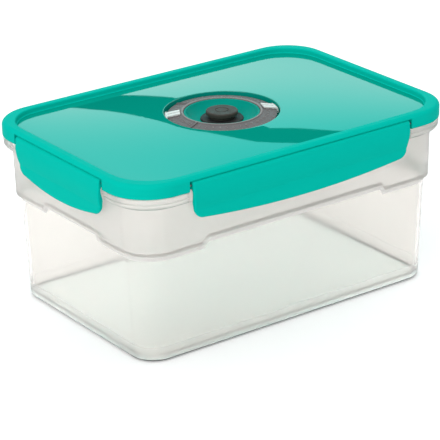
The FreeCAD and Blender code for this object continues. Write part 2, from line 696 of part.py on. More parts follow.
def make_knob():
    """The valve's knob with a ring groove on top and a stem through the lid."""
    knob_top = "seal_top + knob_height"
    return body("valve_knob", turned("KnobTurned", [
        ("0", "retainer_bottom - stem_tail"),
        ("stem_radius - stem_tail / 2", "retainer_bottom - stem_tail"),
        ("stem_radius", "retainer_bottom - stem_tail / 2"),
        ("stem_radius", "seal_top"),
        ("knob_neck", "seal_top"),
        ("knob_neck", f"{knob_top} - knob_cap"),
        ("knob_radius", f"{knob_top} - knob_cap"),
        ("knob_radius", f"{knob_top} - knob_round"),
        ("knob_radius - knob_round", knob_top, "knob_round"),
        ("knob_groove_radius + knob_groove_width / 2", knob_top),
        ("knob_groove_radius", f"{knob_top} - knob_groove_depth"),
        ("knob_groove_radius - knob_groove_width / 2", knob_top),
        ("0", knob_top),
    ]))


def make_seal():
    """The soft disc under the knob that closes the air holes."""
    return body("valve_seal", turned("SealTurned", [
        ("stem_radius", "dish_floor"),
        ("seal_radius", "dish_floor"),
        ("seal_radius", "dish_floor + seal_height / 2"),
        ("seal_radius - seal_height / 2", "seal_top"),
        ("stem_radius", "seal_top"),
    ]))


def make_retainer():
    """The clip on the stem that stops the valve's lift under the lid."""
    return body("valve_retainer", turned("RetainerTurned", [
        ("stem_radius", "retainer_bottom"),
        ("retainer_radius", "retainer_bottom"),
        ("retainer_radius", "retainer_top"),
        ("stem_radius", "retainer_top"),
    ]))


pieces = [make_tub(), make_lid(), make_gasket(), make_ring(), make_knob(), make_seal(), make_retainer()]
pieces += [make_pointer("month_pointer", "month_angle"), make_pointer("day_pointer", "day_angle")]
for side in SIDES:
    pieces += [make_latch(side), make_pin(side)]
doc.recompute()

failed = [item.Name for item in doc.Objects if {"Invalid", "Error"} & set(item.State)]
if failed:
    raise RuntimeError("failed: " + ", ".join(failed))
for piece in pieces:
    shape = piece.Shape
    if shape.isNull() or not shape.isValid() or len(shape.Solids) != 1:
        raise RuntimeError(f"{piece.Label} is not one valid solid")

os.makedirs("parts", exist_ok=True)
for piece in pieces:
    piece.Shape.exportStep(f"parts/{piece.Label}.step")
    print(f"{piece.Label}: {piece.Shape.Volume:.0f} mm3")
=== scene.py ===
import math
from collections import namedtuple

import bmesh
import bpy
from bpy.props import FloatProperty, FloatVectorProperty, PointerProperty
from mathutils import Matrix, Vector


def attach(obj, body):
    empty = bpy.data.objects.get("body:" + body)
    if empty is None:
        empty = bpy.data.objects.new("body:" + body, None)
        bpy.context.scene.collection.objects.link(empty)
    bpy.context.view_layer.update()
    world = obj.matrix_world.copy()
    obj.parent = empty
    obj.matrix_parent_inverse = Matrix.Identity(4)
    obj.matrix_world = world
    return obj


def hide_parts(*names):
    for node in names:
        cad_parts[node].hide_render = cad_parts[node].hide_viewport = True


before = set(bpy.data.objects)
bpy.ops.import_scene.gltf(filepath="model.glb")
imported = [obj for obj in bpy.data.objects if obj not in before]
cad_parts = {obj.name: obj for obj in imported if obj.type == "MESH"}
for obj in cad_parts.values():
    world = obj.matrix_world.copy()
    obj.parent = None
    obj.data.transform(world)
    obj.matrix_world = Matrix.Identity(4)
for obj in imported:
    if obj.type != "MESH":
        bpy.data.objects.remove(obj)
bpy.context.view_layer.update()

bl_info = {
    "name": "Vacuum seal canister",
    "version": (1, 0, 0),
    "blender": (4, 5, 0),
    "location": "3D View > Sidebar > Canister",
    "description": "Dresses a latched food canister with a vacuum valve and a date dial",
    "category": "Object",
}

MM = 0.001
SIDE_NAMES = ("front", "right", "back", "left")

# The canister's outline, in millimetres: every wall runs a given inset inside the lid's outer edge.
HALF_LENGTH = 103.0
HALF_WIDTH = 71.0
CORNER = 24.0
SPINE_X = HALF_LENGTH - CORNER
SPINE_Y = HALF_WIDTH - CORNER
NOTCH_LONG = 71.0
NOTCH_SHORT = 41.1
JOG_LONG = 57.0
JOG_SHORT = 25.0
JOG_RUN = 3.0
JOG_STEPS = 6
SIDE_SPACING = 4.5
CROWDED_SHARE = 0.35
CORNER_STEPS = 24

# The lid: heights above the ground, insets and roundings, in millimetres. Here and below, an arc is its first
# and last angle in degrees and its number of steps.
LID_TOP = 100.0
SKIRT_BOTTOM = 92.4
SKIRT_INNER = 4.4
SKIRT_ROWS = 5
SKIRT_ARC = (179, 164, 9)
RIM_ARC = (162, 90, 9)
RIM_ROUND = 2.4
RIM_INNER_ROUND = 0.9
RIM_INNER_STEPS = 6
RIM_DEPTH = 2.0
RIM_WIDTH = 5.5
NOTCH_FACE = 3.35
NOTCH_ROOF = 97.5
NOTCH_EDGE = (0.55, 97.53)
HINGE_HEIGHT = 95.4
HINGE_INSET = 1.25
CHANNEL_ROOF = 95.6
CHANNEL_MIDDLE = CHANNEL_ROOF - 1.5
CHANNEL_INNER = 7.7
PLUG_INNER = 9.3

# The lid's panel: its rounder corners, its crown and its fillet against the rim, in millimetres.
CORNER_SHIFT = 5.0
PANEL_CORNER = CORNER - RIM_WIDTH + CORNER_SHIFT
PANEL_FOOT = 97.0
PANEL_THICKNESS = 2.0
PANEL_FILLET = 0.6
FILLET_ARC = (180, 265, 6)
PANEL_START = 0.7
CROWN_RISE = 2.7
CROWN_INSET = 3.5
PANEL_ROWS = 26
UNDER_ROWS = 8

# The lid's middle: radii round the dial's axis and heights, in millimetres.
WELL_RADIUS = 30.8
WELL_OUTSIDE = 32.8
WELL_FLOOR = 95.7
WELL_UNDERSIDE = 93.7
WELL_EDGE_STEPS = 4
HUB_RADIUS = 20.2
HUB_TOP = 98.8
HUB_LIP = 19.2
HUB_UNDERSIDE = 18.2
DISH_LIP = (18.7, 98.1)
DISH_ROUND_MIDDLE = (11.85, 103.07)
DISH_ROUND = 8.5
DISH_LEAD = 5
DISH_END = -82
DISH_STEPS = 10
DISH_FLOOR = 94.6
DISH_UNDERSIDE = 92.6
BOSS_RADIUS = 13.6
VALVE_BORE = 2.55
DISH_RINGS = (12.0, 8.6, 4.2, VALVE_BORE)

# The tub: heights above the ground and insets, or both at a corner, in millimetres. A corner of the flange's
# face also has its rounding. Along the jog in the middle of each side the step is higher and the wall drifts
# outward.
UNDERSIDE = 1.2
FLOOR_TOP = 3.0
FLOOR_INSET = 21.2
FOOT_INNER = 18.2
FOOT_OUTER = 10.42
FOOT_HAZE = 14.0
MOAT_FLOOR = 1.8
MOAT_OUTER = 13.3
MOAT_INNER = 16.4
WALL_FOOT = (12.15, 4.2)
WALL_OUTER = 7.9
WALL_INNER = 9.75
STEP_LOW = 57.0
STEP_HIGH = 59.2
STEP_MIDDLE = 6.7
STEP_BEND = 1.1
STEP_RISE = 1.8
JOG_RISE = 3.3
JOG_DRIFT = 0.15
STEP_DRIFT_SHARE = 2 / 3
BAND_DRIFT_SHARE = 2 / 5
BAND_OUTER = 5.5
BAND_INNER = 7.35
BAND_TOP = (5.05, 85.0)
FLANGE_START = (5.05, 84.4)
FLANGE_FOOT = (4.9, 85.0)
FLANGE_TOP = 92.0
FLANGE_FACE = ((1.13, 87.1, 0.4), (0.58, 87.94, 0.4), (0.58, 89.06, 0.3), (1.22, 89.41, 0.15),
               (0.44, 89.83, 0.15), (0.3, FLANGE_TOP, 0.35))
NOTCH_FLANGE = 3.2
NOTCH_LEVELS = (85.95, 87.4, 88.5, 89.6, 90.7, FLANGE_TOP)
LIP_ROOT = 4.95
LIP_FOOT = (4.93, 92.6)
LIP_OUTER = 4.9
LIP_INNER = 6.73
LIP_TOP = 93.6

# The gasket, in millimetres.
GASKET_MIDDLE = 6.0
GASKET_OUTER = 4.5
GASKET_INNER = 7.6
GASKET_BOTTOM = 93.6

# Meshes: points of a rounded corner, the share of a straight stretch that a rounding may take, how near to
# straight a corner is that needs none, the angles past which an edge is sharp and under which it is flat, and
# the distance within which points are one.
ARC_STEPS = 4
ARC_POINTS = ARC_STEPS + 1
ROOM_SHARE = 0.49
STRAIGHT = 1e-4
SHARP_EDGE = math.radians(35.0)
FLAT_EDGE = math.radians(1.0)
MERGED = 0.002 * MM

Column = namedtuple("Column", "spine out along long notch raised")


def linear(code):
    """A colour written as sRGB hex, as linear light."""
    parts = [int(code[i:i + 2], 16) / 255 for i in (1, 3, 5)]
    return tuple(p / 12.92 if p <= 0.04045 else ((p + 0.055) / 1.055) ** 2.4 for p in parts)


def colour_property(label, code, words):
    """A colour that a user may change."""
    return FloatVectorProperty(
        name=label, description=words, default=linear(code), subtype="COLOR", size=3, min=0.0, max=1.0)


def length_property(label, millimetres, words):
    """A length that a user may change."""
    return FloatProperty(
        name=label, description=words, default=millimetres * MM, min=0.0, precision=5, subtype="DISTANCE",
        unit="LENGTH")


class CanisterColours(bpy.types.PropertyGroup):
    """Colours of the canister's plastics, rubbers and metal."""

    lid: colour_property("Lid", "#02c3b2", "Teal of the rim, the skirt and the latches")
    panel: colour_property("Panel", "#029f8c", "Teal of the polished panel")
    # The dish teal is darker than the lid's: painted shade of the well, the hub and the dish.
    dish: colour_property("Dish", "#029b8b", "Teal of the dial well, the hub and the dish")
    tub: colour_property("Tub", "#f4f1ee", "Tub's smooth wall, almost without colour")
    band: colour_property("Band", "#eeebe8", "Tub's etched band below the lid")
    # The foot's dark grey is painted shade: the contact shadow where the tub stands.
    foot: colour_property("Foot", "#666362", "Tub's thick foot, where it stands")
    dial: colour_property("Dial", "#6b6768", "Grey of the date ring")
    # The marks' lighter grey is a painted highlight on the raised numbers and the ring's inner lip.
    marks: colour_property("Marks", "#8b8786", "Raised numbers and marks of the date ring")
    pointer: colour_property("Pointers", "#dfe3e0", "White of the two pointers")
    knob: colour_property("Knob", "#3f3c37", "Grey of the valve knob")
    # The seal's near-black is partly the dark rubber and partly painted shade under the knob's cap.
    seal: colour_property("Seal", "#262727", "Dark rubber of the valve's seal")
    gasket: colour_property("Gasket", "#e2e4e2", "Silicone of the lid's gasket")
    pin: colour_property("Pins", "#7f8385", "Steel of the hinge pins")
    floor: colour_property("Floor", "#f7f7f7", "Studio floor")


class CanisterSizes(bpy.types.PropertyGroup):
    """Small lengths that give the canister's edges and marks their look."""

    edge: length_property("Edge", 0.4, "Rounding of the lid's and the tub's small edges")
    latch_edge: length_property("Latch edge", 0.75, "Rounding of the latches' edges")
    well_edge: length_property("Well edge", 0.35, "Rounding of the dial well's upper edge")
    small_edge: length_property("Small edge", 0.15, "Rounding of the ring's, pointers' and valve's edges")
    number_height: length_property("Numbers", 1.9, "Height of the numbers on the date ring")
    relief: length_property("Relief", 0.16, "Numbers and marks above the date ring")


# Meshes. Points are worked out in millimetres in the canister's frame.

def at(column, inset, height):
    """The point of a column of the outline, an inset inside the lid's edge."""
    reach = CORNER - inset
    return Vector((column.spine[0] + column.out[0] * reach, column.spine[1] + column.out[1] * reach, height))


def smooth_step(t):
    """0 to 1, level at both ends."""
    t = min(max(t, 0.0), 1.0)
    return t * t * (3 - 2 * t)


def side_stops(half, notch, jog):
    """Places along a side and whether each is in the latch's notch: even steps, both edges of the notch, and
    the slants of a jog if there is one."""
    slant = [jog + JOG_RUN * (k / JOG_STEPS - 0.5) for k in range(JOG_STEPS + 1)] if jog else []
    own = sorted(slant + [-s for s in slant] + [-notch, notch])
    count = round(2 * half / SIDE_SPACING)
    even = [-half + 2 * half * k / count for k in range(count + 1)]
    room = CROWDED_SHARE * SIDE_SPACING
    even = [s for s in even if abs(s) == half or min(abs(s - o) for o in own) > room]
    stops = []
    for s in sorted(even + own):
        if s == -notch:
            stops += [(s, False), (s, True)]
        elif s == notch:
            stops += [(s, True), (s, False)]
        else:
            stops.append((s, abs(s) < notch))
    return stops


def outline_columns(shoulder):
    """Columns round the canister, counter-clockwise from the front's left end, with or without the shoulder's
    slants."""
    columns = []
    for turn in range(4):
        angle = turn * math.pi / 2
        cos, sin = round(math.cos(angle)), round(math.sin(angle))
        long = turn % 2 == 0
        half, reach = (SPINE_X, SPINE_Y) if long else (SPINE_Y, SPINE_X)
        notch, jog = (NOTCH_LONG, JOG_LONG) if long else (NOTCH_SHORT, JOG_SHORT)

        def turned(x, y):
            return (cos * x - sin * y, sin * x + cos * y)

        for s, inside in side_stops(half, notch, jog if shoulder else 0.0):
            raised = 1 - smooth_step((abs(s) - jog) / JOG_RUN + 0.5)
            columns.append(Column(turned(s, -reach), turned(0, -1), s, long, inside, raised))
        for k in range(1, CORNER_STEPS):
            swing = math.pi / 2 * k / CORNER_STEPS
            out = turned(math.sin(swing), -math.cos(swing))
            columns.append(Column(turned(half, -reach), out, half, long, False, 0.0))
    return columns


TUB_COLUMNS = outline_columns(True)
LID_COLUMNS = outline_columns(False)


def rounded(corners, steps=ARC_STEPS):
    """A path through corners, each (across, height, radius): a corner with a radius becomes an arc. Where the
    path's ends are cut off afterwards, its first and last corners only give its direction there."""
    path = []
    for i, (x, y, radius) in enumerate(corners):
        here = Vector((x, y))
        if radius == 0 or i in (0, len(corners) - 1):
            path.append((x, y))
            continue
        back = Vector(corners[i - 1][:2]) - here
        ahead = Vector(corners[i + 1][:2]) - here
        room = ROOM_SHARE * min(back.length, ahead.length)
        back.normalize()
        ahead.normalize()
        half = math.acos(max(-1.0, min(1.0, back.dot(ahead)))) / 2
        tangent = min(radius / math.tan(half), room) if half < math.pi / 2 - STRAIGHT else 0.0
        if tangent == 0.0:
            path += [(x, y)] * (steps + 1)
            continue
        true_radius = tangent * math.tan(half)
        middle = here + (back + ahead).normalized() * (true_radius / math.sin(half))
        start, end = here + back * tangent - middle, here + ahead * tangent - middle
        swing = start.angle_signed(end)
        for k in range(steps + 1):
            point = middle + Matrix.Rotation(-swing * k / steps, 2) @ start
            path.append((point.x, point.y))
    return path


def circle_points(middle, radius, first, last, steps):
    """Points of an arc in a section, by angles in degrees from the inward direction."""
    points = []
    for k in range(steps + 1):
        angle = math.radians(first + (last - first) * k / steps)
        points.append((middle[0] + radius * math.cos(angle), middle[1] + radius * math.sin(angle)))
    return points


def new_piece(name, mesh):
    """An object for a finished mesh, linked into the scene."""
    piece = bpy.data.objects.new(name, mesh)
    bpy.context.scene.collection.objects.link(piece)
    return piece


def mesh_from(name, points, faces, kinds):
    """A mesh in metres from points in millimetres, merged, smooth, with sharp edges past an angle."""
    form = bmesh.new()
    verts = [form.verts.new(Vector(p) * MM) for p in points]
    for k, face in enumerate(faces):
        made = form.faces.new([verts[i] for i in face])
        made.smooth = True
        made.material_index = kinds[k]
    bmesh.ops.remove_doubles(form, verts=form.verts, dist=MERGED)
    bmesh.ops.dissolve_degenerate(form, edges=form.edges, dist=MERGED)
    bmesh.ops.recalc_face_normals(form, faces=form.faces)
    mesh = bpy.data.meshes.new(name)
    form.to_mesh(mesh)
    form.free()
    mesh.set_sharp_from_angle(angle=SHARP_EDGE)
    return mesh


def swept(name, rows, closed_section, kind_of=lambda k: 0, caps=False, closed_round=True):
    """A mesh through sections of equal length, joined one to the next, with the first and last points or
    sections closed over where asked."""
    count, length = len(rows), len(rows[0])
    points = [p for row in rows for p in row]
    faces, kinds = [], []
    for i in range(count if closed_round else count - 1):
        here, ahead = i * length, (i + 1) % count * length
        for k in range(length if closed_section else length - 1):
            after = (k + 1) % length
            faces.append((here + k, ahead + k, ahead + after, here + after))
            kinds.append(kind_of(k))
    if caps and closed_round:
        faces.append([i * length for i in range(count)])
        faces.append([i * length + length - 1 for i in range(count)])
        kinds += [kind_of(0), kind_of(length - 1)]
    elif caps:
        faces.append(list(range(length)))
        faces.append([(count - 1) * length + k for k in range(length)])
        kinds += [kind_of(0), kind_of(0)]
    return mesh_from(name, points, faces, kinds)


def lathed(name, section, kind_of, segments=144):
    """A mesh turned about the dial's axis from a closed section of (radius, height)."""
    rows = []
    for i in range(segments):
        angle = 2 * math.pi * i / segments
        rows.append([Vector((r * math.cos(angle), r * math.sin(angle), z)) for r, z in section])
    return swept(name, rows, True, kind_of)


def settle(piece, node, body, slot, *materials):
    """Puts materials on a piece that stands for a CAD node and moves with a body."""
    for material in materials:
        piece.data.materials.append(material)
    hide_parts(node)
    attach(piece, body)
    even = piece.modifiers.new("even_shading", "WEIGHTED_NORMAL")
    even.keep_sharp = True


def finish_node(node, material, edge=0.0):
    """Keeps a CAD node's own shape, with its edges eased and a material."""
    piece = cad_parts[node]
    piece.data.materials.clear()
    piece.data.materials.append(material)
    if edge:
        weld = piece.modifiers.new("weld", "WELD")
        weld.merge_threshold = MERGED
        flat = piece.modifiers.new("flat", "DECIMATE")
        flat.decimate_type = "DISSOLVE"
        flat.angle_limit = FLAT_EDGE
        ease = piece.modifiers.new("eased_edges", "BEVEL")
        ease.width = edge
        ease.segments = 3
        ease.limit_method = "ANGLE"
        ease.angle_limit = SHARP_EDGE
        ease.use_clamp_overlap = True
        ease.harden_normals = False
    even = piece.modifiers.new("even_shading", "WEIGHTED_NORMAL")
    even.keep_sharp = True


# Materials. Moulded grain, tooth and scratches are too fine to show, so a grain of under a millimetre is
# drawn coarser than the real one. A noise mostly keeps to the range here.
NOISE_RANGE = (0.3, 0.7)


def add_node(tree, kind, settings=None, links=None):
    """Adds a node, sets its properties or input values, and links its inputs."""
    item = tree.nodes.new(kind)
    for key, value in (settings or {}).items():
        if isinstance(key, int) or key in item.inputs:
            item.inputs[key].default_value = value
        else:
            setattr(item, key, value)
    for key, source in (links or {}).items():
        tree.links.new(source, item.inputs[key])
    return item


def plain_surface(name, colour, settings):
    """A material with one shader, whose colour and settings are the same all over until one is linked."""
    material = bpy.data.materials.new(name)
    material.use_nodes = True
    material.diffuse_color = (*colour, 1.0)
    shader = material.node_tree.nodes["Principled BSDF"]
    shader.inputs["Base Color"].default_value = (*colour, 1.0)
    for key, value in settings.items():
        shader.inputs[key].default_value = value
    return material, material.node_tree, shader


def surface(name, colour, settings, grain, depth, gloss, patch, tone):
    """A material with one shader. Its surface has bumps of a grain and depth in millimetres. Its roughness
    drifts between two values and its colour darkens by a share, both over patches of a size in millimetres.
    Gives the material, and its tree and shader the first time, for anything that is added to it."""
    material = bpy.data.materials.get(name)
    if material:
        return material, None, None
    material, tree, shader = plain_surface(name, colour, settings)
    place = add_node(tree, "ShaderNodeTexCoord").outputs["Object"]
    bumps = add_node(tree, "ShaderNodeTexNoise", {"Scale": 1 / (grain * MM), "Detail": 2.0},
                     {"Vector": place})
    relief = add_node(tree, "ShaderNodeBump", {"Distance": depth * MM}, {"Height": bumps.outputs[0]})
    drift = add_node(tree, "ShaderNodeTexNoise", {"Scale": 1 / (patch * MM), "Detail": 3.0},
                     {"Vector": place})
    spread = add_node(tree, "ShaderNodeMapRange", {
        "From Min": NOISE_RANGE[0], "From Max": NOISE_RANGE[1], "To Min": gloss[0], "To Max": gloss[1]},
        {"Value": drift.outputs[0]})
    tint = add_node(tree, "ShaderNodeMix", {"data_type": "RGBA"}, {"Factor": drift.outputs[0]})
    tint.inputs[6].default_value = (*colour, 1.0)
    tint.inputs[7].default_value = (*(part * (1 - tone) for part in colour), 1.0)
    tree.links.new(tint.outputs[2], shader.inputs["Base Color"])
    tree.links.new(spread.outputs[0], shader.inputs["Roughness"])
    tree.links.new(relief.outputs[0], shader.inputs["Normal"])
    return material, tree, shader


def satin_polypropylene(colour):
    """Moulded against a spark-eroded tool: full colour, hardly any mirror, an even satin grain. The real
    grain of about 0.1 mm is too fine to show, so it is drawn at 0.7 mm."""
    return surface("satin_polypropylene_teal", colour, {"IOR": 1.49, "Specular IOR Level": 0.01},
                   grain=0.7, depth=0.015, gloss=(0.5, 0.6), patch=18.0, tone=0.04)[0]


def polished_polypropylene(colour):
    """Moulded against a polished tool: deep colour under a clear, sharp reflection that wavers where the
    plastic sank as it cooled."""
    return surface("polished_polypropylene_teal", colour, {"IOR": 1.5, "Specular IOR Level": 0.5},
                   grain=28.0, depth=0.01, gloss=(0.01, 0.035), patch=35.0, tone=0.03)[0]


def recess_polypropylene_painted_shade(colour):
    """The same plastic down in the dial's well and the valve's dish: its darker colour is painted shade of
    the recess, with a soft sheen and faint tool marks."""
    return surface("recess_teal_painted_shade", colour, {"IOR": 1.49, "Specular IOR Level": 0.02},
                   grain=0.6, depth=0.012, gloss=(0.3, 0.4), patch=9.0, tone=0.05)[0]


def let_light_through(material, tree, shader, share):
    """Lets a share of the lamps' light straight through a clear wall, so that it throws a pale shadow."""
    if tree:
        path = add_node(tree, "ShaderNodeLightPath")
        passing = add_node(tree, "ShaderNodeMath", {"operation": "MULTIPLY", 1: share},
                           {0: path.outputs["Is Shadow Ray"]})
        clear = add_node(tree, "ShaderNodeBsdfTransparent")
        mixed = add_node(tree, "ShaderNodeMixShader", {},
                         {0: passing.outputs[0], 1: shader.outputs[0], 2: clear.outputs[0]})
        tree.links.new(mixed.outputs[0], tree.nodes["Material Output"].inputs["Surface"])
    return material


def clear_polypropylene(colour):
    """Moulded with smooth sides: clear enough to see through, milky where walls lie behind each other and in
    the thick plastic near the foot, with the cloudy flow of the melt."""
    material, tree, shader = surface("clear_polypropylene", colour, {
        "IOR": 1.3, "Transmission Weight": 0.9, "Specular IOR Level": 0.4},
        grain=22.0, depth=0.02, gloss=(0.09, 0.15), patch=26.0, tone=0.03)
    if tree:
        place = add_node(tree, "ShaderNodeTexCoord")
        height = add_node(tree, "ShaderNodeSeparateXYZ", {}, {0: place.outputs["Object"]})
        haze = add_node(tree, "ShaderNodeMapRange", {
            "interpolation_type": "SMOOTHSTEP", "From Min": FOOT_HAZE * MM, "From Max": 0.0, "To Max": 0.4},
            {"Value": height.outputs["Z"]})
        drift = shader.inputs["Roughness"].links[0].from_socket
        rough = add_node(tree, "ShaderNodeMath", {"operation": "ADD"}, {0: drift, 1: haze.outputs[0]})
        tree.links.new(rough.outputs[0], shader.inputs["Roughness"])
    return let_light_through(material, tree, shader, 0.9)


def frosted_polypropylene(colour):
    """Moulded with an etched band: light comes through, shapes behind it do not. The real etching of about
    0.15 mm is too fine to show, so it is drawn at 0.8 mm."""
    made = surface("frosted_polypropylene", colour, {
        "IOR": 1.3, "Transmission Weight": 0.85, "Specular IOR Level": 0.4},
        grain=0.8, depth=0.03, gloss=(0.38, 0.46), patch=20.0, tone=0.03)
    return let_light_through(*made, 0.9)


def edge_polypropylene(colour):
    """The tub's step, where the wall is thick: it gathers light and shows as a pale line."""
    made = surface("edge_polypropylene", colour, {
        "IOR": 1.3, "Transmission Weight": 0.2, "Specular IOR Level": 0.4},
        grain=0.8, depth=0.01, gloss=(0.36, 0.44), patch=14.0, tone=0.02)
    return let_light_through(*made, 0.3)


def foot_polypropylene_painted_shade(colour):
    """The tub's foot, thick and edge-on: the thick plastic dims light, and its dark grey colour adds painted
    shade, the contact shadow where it stands, drawn as a grey line. It is scuffed.
    """
    return surface("foot_polypropylene_painted_shade", colour, {
        "IOR": 1.3, "Transmission Weight": 0.2, "Specular IOR Level": 0.1},
        grain=1.2, depth=0.02, gloss=(0.35, 0.5), patch=7.0, tone=0.08)[0]


def matte_abs(colour):
    """Moulded with a matte face: even grey, a wide faint sheen. The real grain of about 0.1 mm is too fine to
    show, so it is drawn at 0.5 mm."""
    return surface("matte_abs_grey", colour, {"IOR": 1.52, "Specular IOR Level": 0.3},
                   grain=0.5, depth=0.015, gloss=(0.48, 0.62), patch=6.0, tone=0.1)[0]


def raised_abs_painted_highlight(colour):
    """The same moulding's raised numbers and inner lip, painted lighter as a highlight where they catch the
    light, unevenly.
    """
    return surface("raised_abs_grey_painted_highlight", colour, {"IOR": 1.52, "Specular IOR Level": 0.3},
                   grain=0.4, depth=0.008, gloss=(0.4, 0.56), patch=4.0, tone=0.18)[0]


def white_abs(colour):
    """Moulded white plastic: bright, with a soft sheen and faint handling marks."""
    return surface("white_abs", colour, {"IOR": 1.52, "Specular IOR Level": 0.4},
                   grain=0.5, depth=0.006, gloss=(0.28, 0.42), patch=3.0, tone=0.05)[0]


def soft_elastomer(colour):
    """Moulded thermoplastic rubber: dull warm grey, a broad highlight, a fine tooth drawn at 0.5 mm."""
    return surface("soft_elastomer_grey", colour, {"IOR": 1.5, "Specular IOR Level": 0.18},
                   grain=0.5, depth=0.02, gloss=(0.44, 0.58), patch=4.0, tone=0.1)[0]


def black_rubber_painted_shade(colour):
    """Moulded rubber: dark and dull, with a little bloom; its colour is darkened further as painted shade
    under the knob's cap.
    """
    return surface("black_rubber_painted_shade", colour, {"IOR": 1.52, "Specular IOR Level": 0.3},
                   grain=0.5, depth=0.02, gloss=(0.5, 0.7), patch=5.0, tone=0.2)[0]


def pale_silicone(colour):
    """Moulded silicone: pale, soft light inside it, greasy sheen."""
    return surface("pale_silicone", colour, {
        "IOR": 1.41, "Subsurface Weight": 0.2, "Subsurface Scale": 2.0 * MM},
        grain=0.8, depth=0.01, gloss=(0.34, 0.46), patch=10.0, tone=0.04)[0]


def steel_wire(colour):
    """Drawn steel: bright, slightly blurred mirror with fine scratches, drawn at 0.3 mm."""
    return surface("drawn_steel_wire", colour, {"Metallic": 1.0},
                   grain=0.3, depth=0.004, gloss=(0.22, 0.38), patch=2.0, tone=0.1)[0]


# Pieces.

def crown(x, y):
    """Height of the panel's gentle crown."""
    across, along = x / (HALF_LENGTH - CROWN_INSET), y / (HALF_WIDTH - CROWN_INSET)
    return PANEL_FOOT + CROWN_RISE * (1 - across ** 2) * (1 - along ** 2)


def rim_inset(column):
    """Inset of the rim's inner face: the panel's corners are rounder than the lid's, so it grows there."""
    if column.out[0] * column.out[1] == 0:
        half = SPINE_X if column.long else SPINE_Y
        past = max(abs(column.along) - half + CORNER_SHIFT, 0.0)
        return RIM_WIDTH + PANEL_CORNER - math.sqrt(PANEL_CORNER ** 2 - past ** 2)
    lean = CORNER_SHIFT * (abs(column.out[0]) + abs(column.out[1]))
    return CORNER + lean - math.sqrt(lean ** 2 - 2 * CORNER_SHIFT ** 2 + PANEL_CORNER ** 2)


def lid_section(column, edge, well_edge):
    """The lid's closed section at a column, from the skirt's lower edge over the rim and the panel to the
    valve's bore and back below. Gives the points, and the places where the polished panel starts and where it
    and the dish end."""
    middle = (RIM_ROUND, LID_TOP - RIM_ROUND)
    rim = circle_points(middle, RIM_ROUND, *RIM_ARC)
    skirt = [(SKIRT_INNER, CHANNEL_MIDDLE, 0), (SKIRT_INNER, SKIRT_BOTTOM, 0.2)]
    if column.notch:
        outer = rounded(skirt + [
            (NOTCH_FACE, SKIRT_BOTTOM, 0.2), (NOTCH_FACE, NOTCH_ROOF, 0.6), (HINGE_INSET, NOTCH_ROOF, 0.3),
            (*NOTCH_EDGE, 0.3), (*rim[0], 0)])[1:-1]
    else:
        outer = rounded(skirt + [(0, SKIRT_BOTTOM, edge), (0, middle[1], 0)])[1:-1]
        outer += [(0, SKIRT_BOTTOM + 1 + k) for k in range(SKIRT_ROWS)]
        outer += circle_points(middle, RIM_ROUND, *SKIRT_ARC)
    inset = rim_inset(column)
    inner_rim = rounded([
        (RIM_ROUND, LID_TOP, 0), (inset, LID_TOP, RIM_INNER_ROUND), (inset, LID_TOP - RIM_DEPTH, 0)],
        RIM_INNER_STEPS)[1:-1]
    points = [at(column, *p) for p in outer + rim + inner_rim]
    foot = at(column, inset, 0)
    fillet = (inset + PANEL_FILLET, crown(foot.x, foot.y) + PANEL_FILLET)
    points += [at(column, *p) for p in circle_points(fillet, PANEL_FILLET, *FILLET_ARC)]

    first_polished = len(points)
    start = at(column, inset + PANEL_START, 0)
    away = Vector((start.x, start.y, 0)).normalized()
    for k in range(PANEL_ROWS + 1):
        spot = start.lerp(away * (WELL_RADIUS + well_edge), k / PANEL_ROWS)
        points.append(Vector((spot.x, spot.y, crown(spot.x, spot.y))))
    top = points[-1].z

    last_polished = len(points) + WELL_EDGE_STEPS - 1
    dial = []
    for k in range(1, WELL_EDGE_STEPS + 1):
        a = math.pi / 2 * k / WELL_EDGE_STEPS
        dial.append((WELL_RADIUS + well_edge * (1 - math.sin(a)), top - well_edge * (1 - math.cos(a))))
    dial += rounded([
        (WELL_RADIUS, HUB_TOP, 0), (WELL_RADIUS, WELL_FLOOR, 0.3), (HUB_RADIUS, WELL_FLOOR, 0.3),
        (HUB_RADIUS, HUB_TOP, 0.25), (HUB_LIP, HUB_TOP, 0.2), (*DISH_LIP, 0)])[1:-1]
    slope = math.degrees(math.atan2(HUB_TOP - DISH_ROUND_MIDDLE[1], HUB_LIP - DISH_ROUND_MIDDLE[0]))
    dial += circle_points(DISH_ROUND_MIDDLE, DISH_ROUND, slope - DISH_LEAD, DISH_END, DISH_STEPS)
    dial += [(radius, DISH_FLOOR) for radius in DISH_RINGS]

    last_dished = len(points) + len(dial) - 1
    dial += rounded([
        (VALVE_BORE, DISH_FLOOR, 0), (VALVE_BORE, DISH_UNDERSIDE, 0.1), (BOSS_RADIUS, DISH_UNDERSIDE, 0.6),
        (HUB_UNDERSIDE, WELL_UNDERSIDE, 0.6), (WELL_OUTSIDE, WELL_UNDERSIDE, 0.5),
        (WELL_OUTSIDE, WELL_FLOOR, 0)])[1:-1]
    points += [away * r + Vector((0, 0, z)) for r, z in dial]
    end = at(column, PLUG_INNER, 0)
    for k in range(UNDER_ROWS + 1):
        spot = (away * WELL_OUTSIDE).lerp(end, k / UNDER_ROWS)
        points.append(Vector((spot.x, spot.y, crown(spot.x, spot.y) - PANEL_THICKNESS)))
    below = rounded([
        (PLUG_INNER, CHANNEL_MIDDLE, 0), (PLUG_INNER, SKIRT_BOTTOM, 0.5), (CHANNEL_INNER, SKIRT_BOTTOM, 0.5),
        (CHANNEL_INNER, CHANNEL_ROOF, 0.3), (SKIRT_INNER, CHANNEL_ROOF, 0.3),
        (SKIRT_INNER, CHANNEL_MIDDLE, 0)])[1:-1]
    points += [at(column, *p) for p in below]
    return points, first_polished, last_polished, last_dished


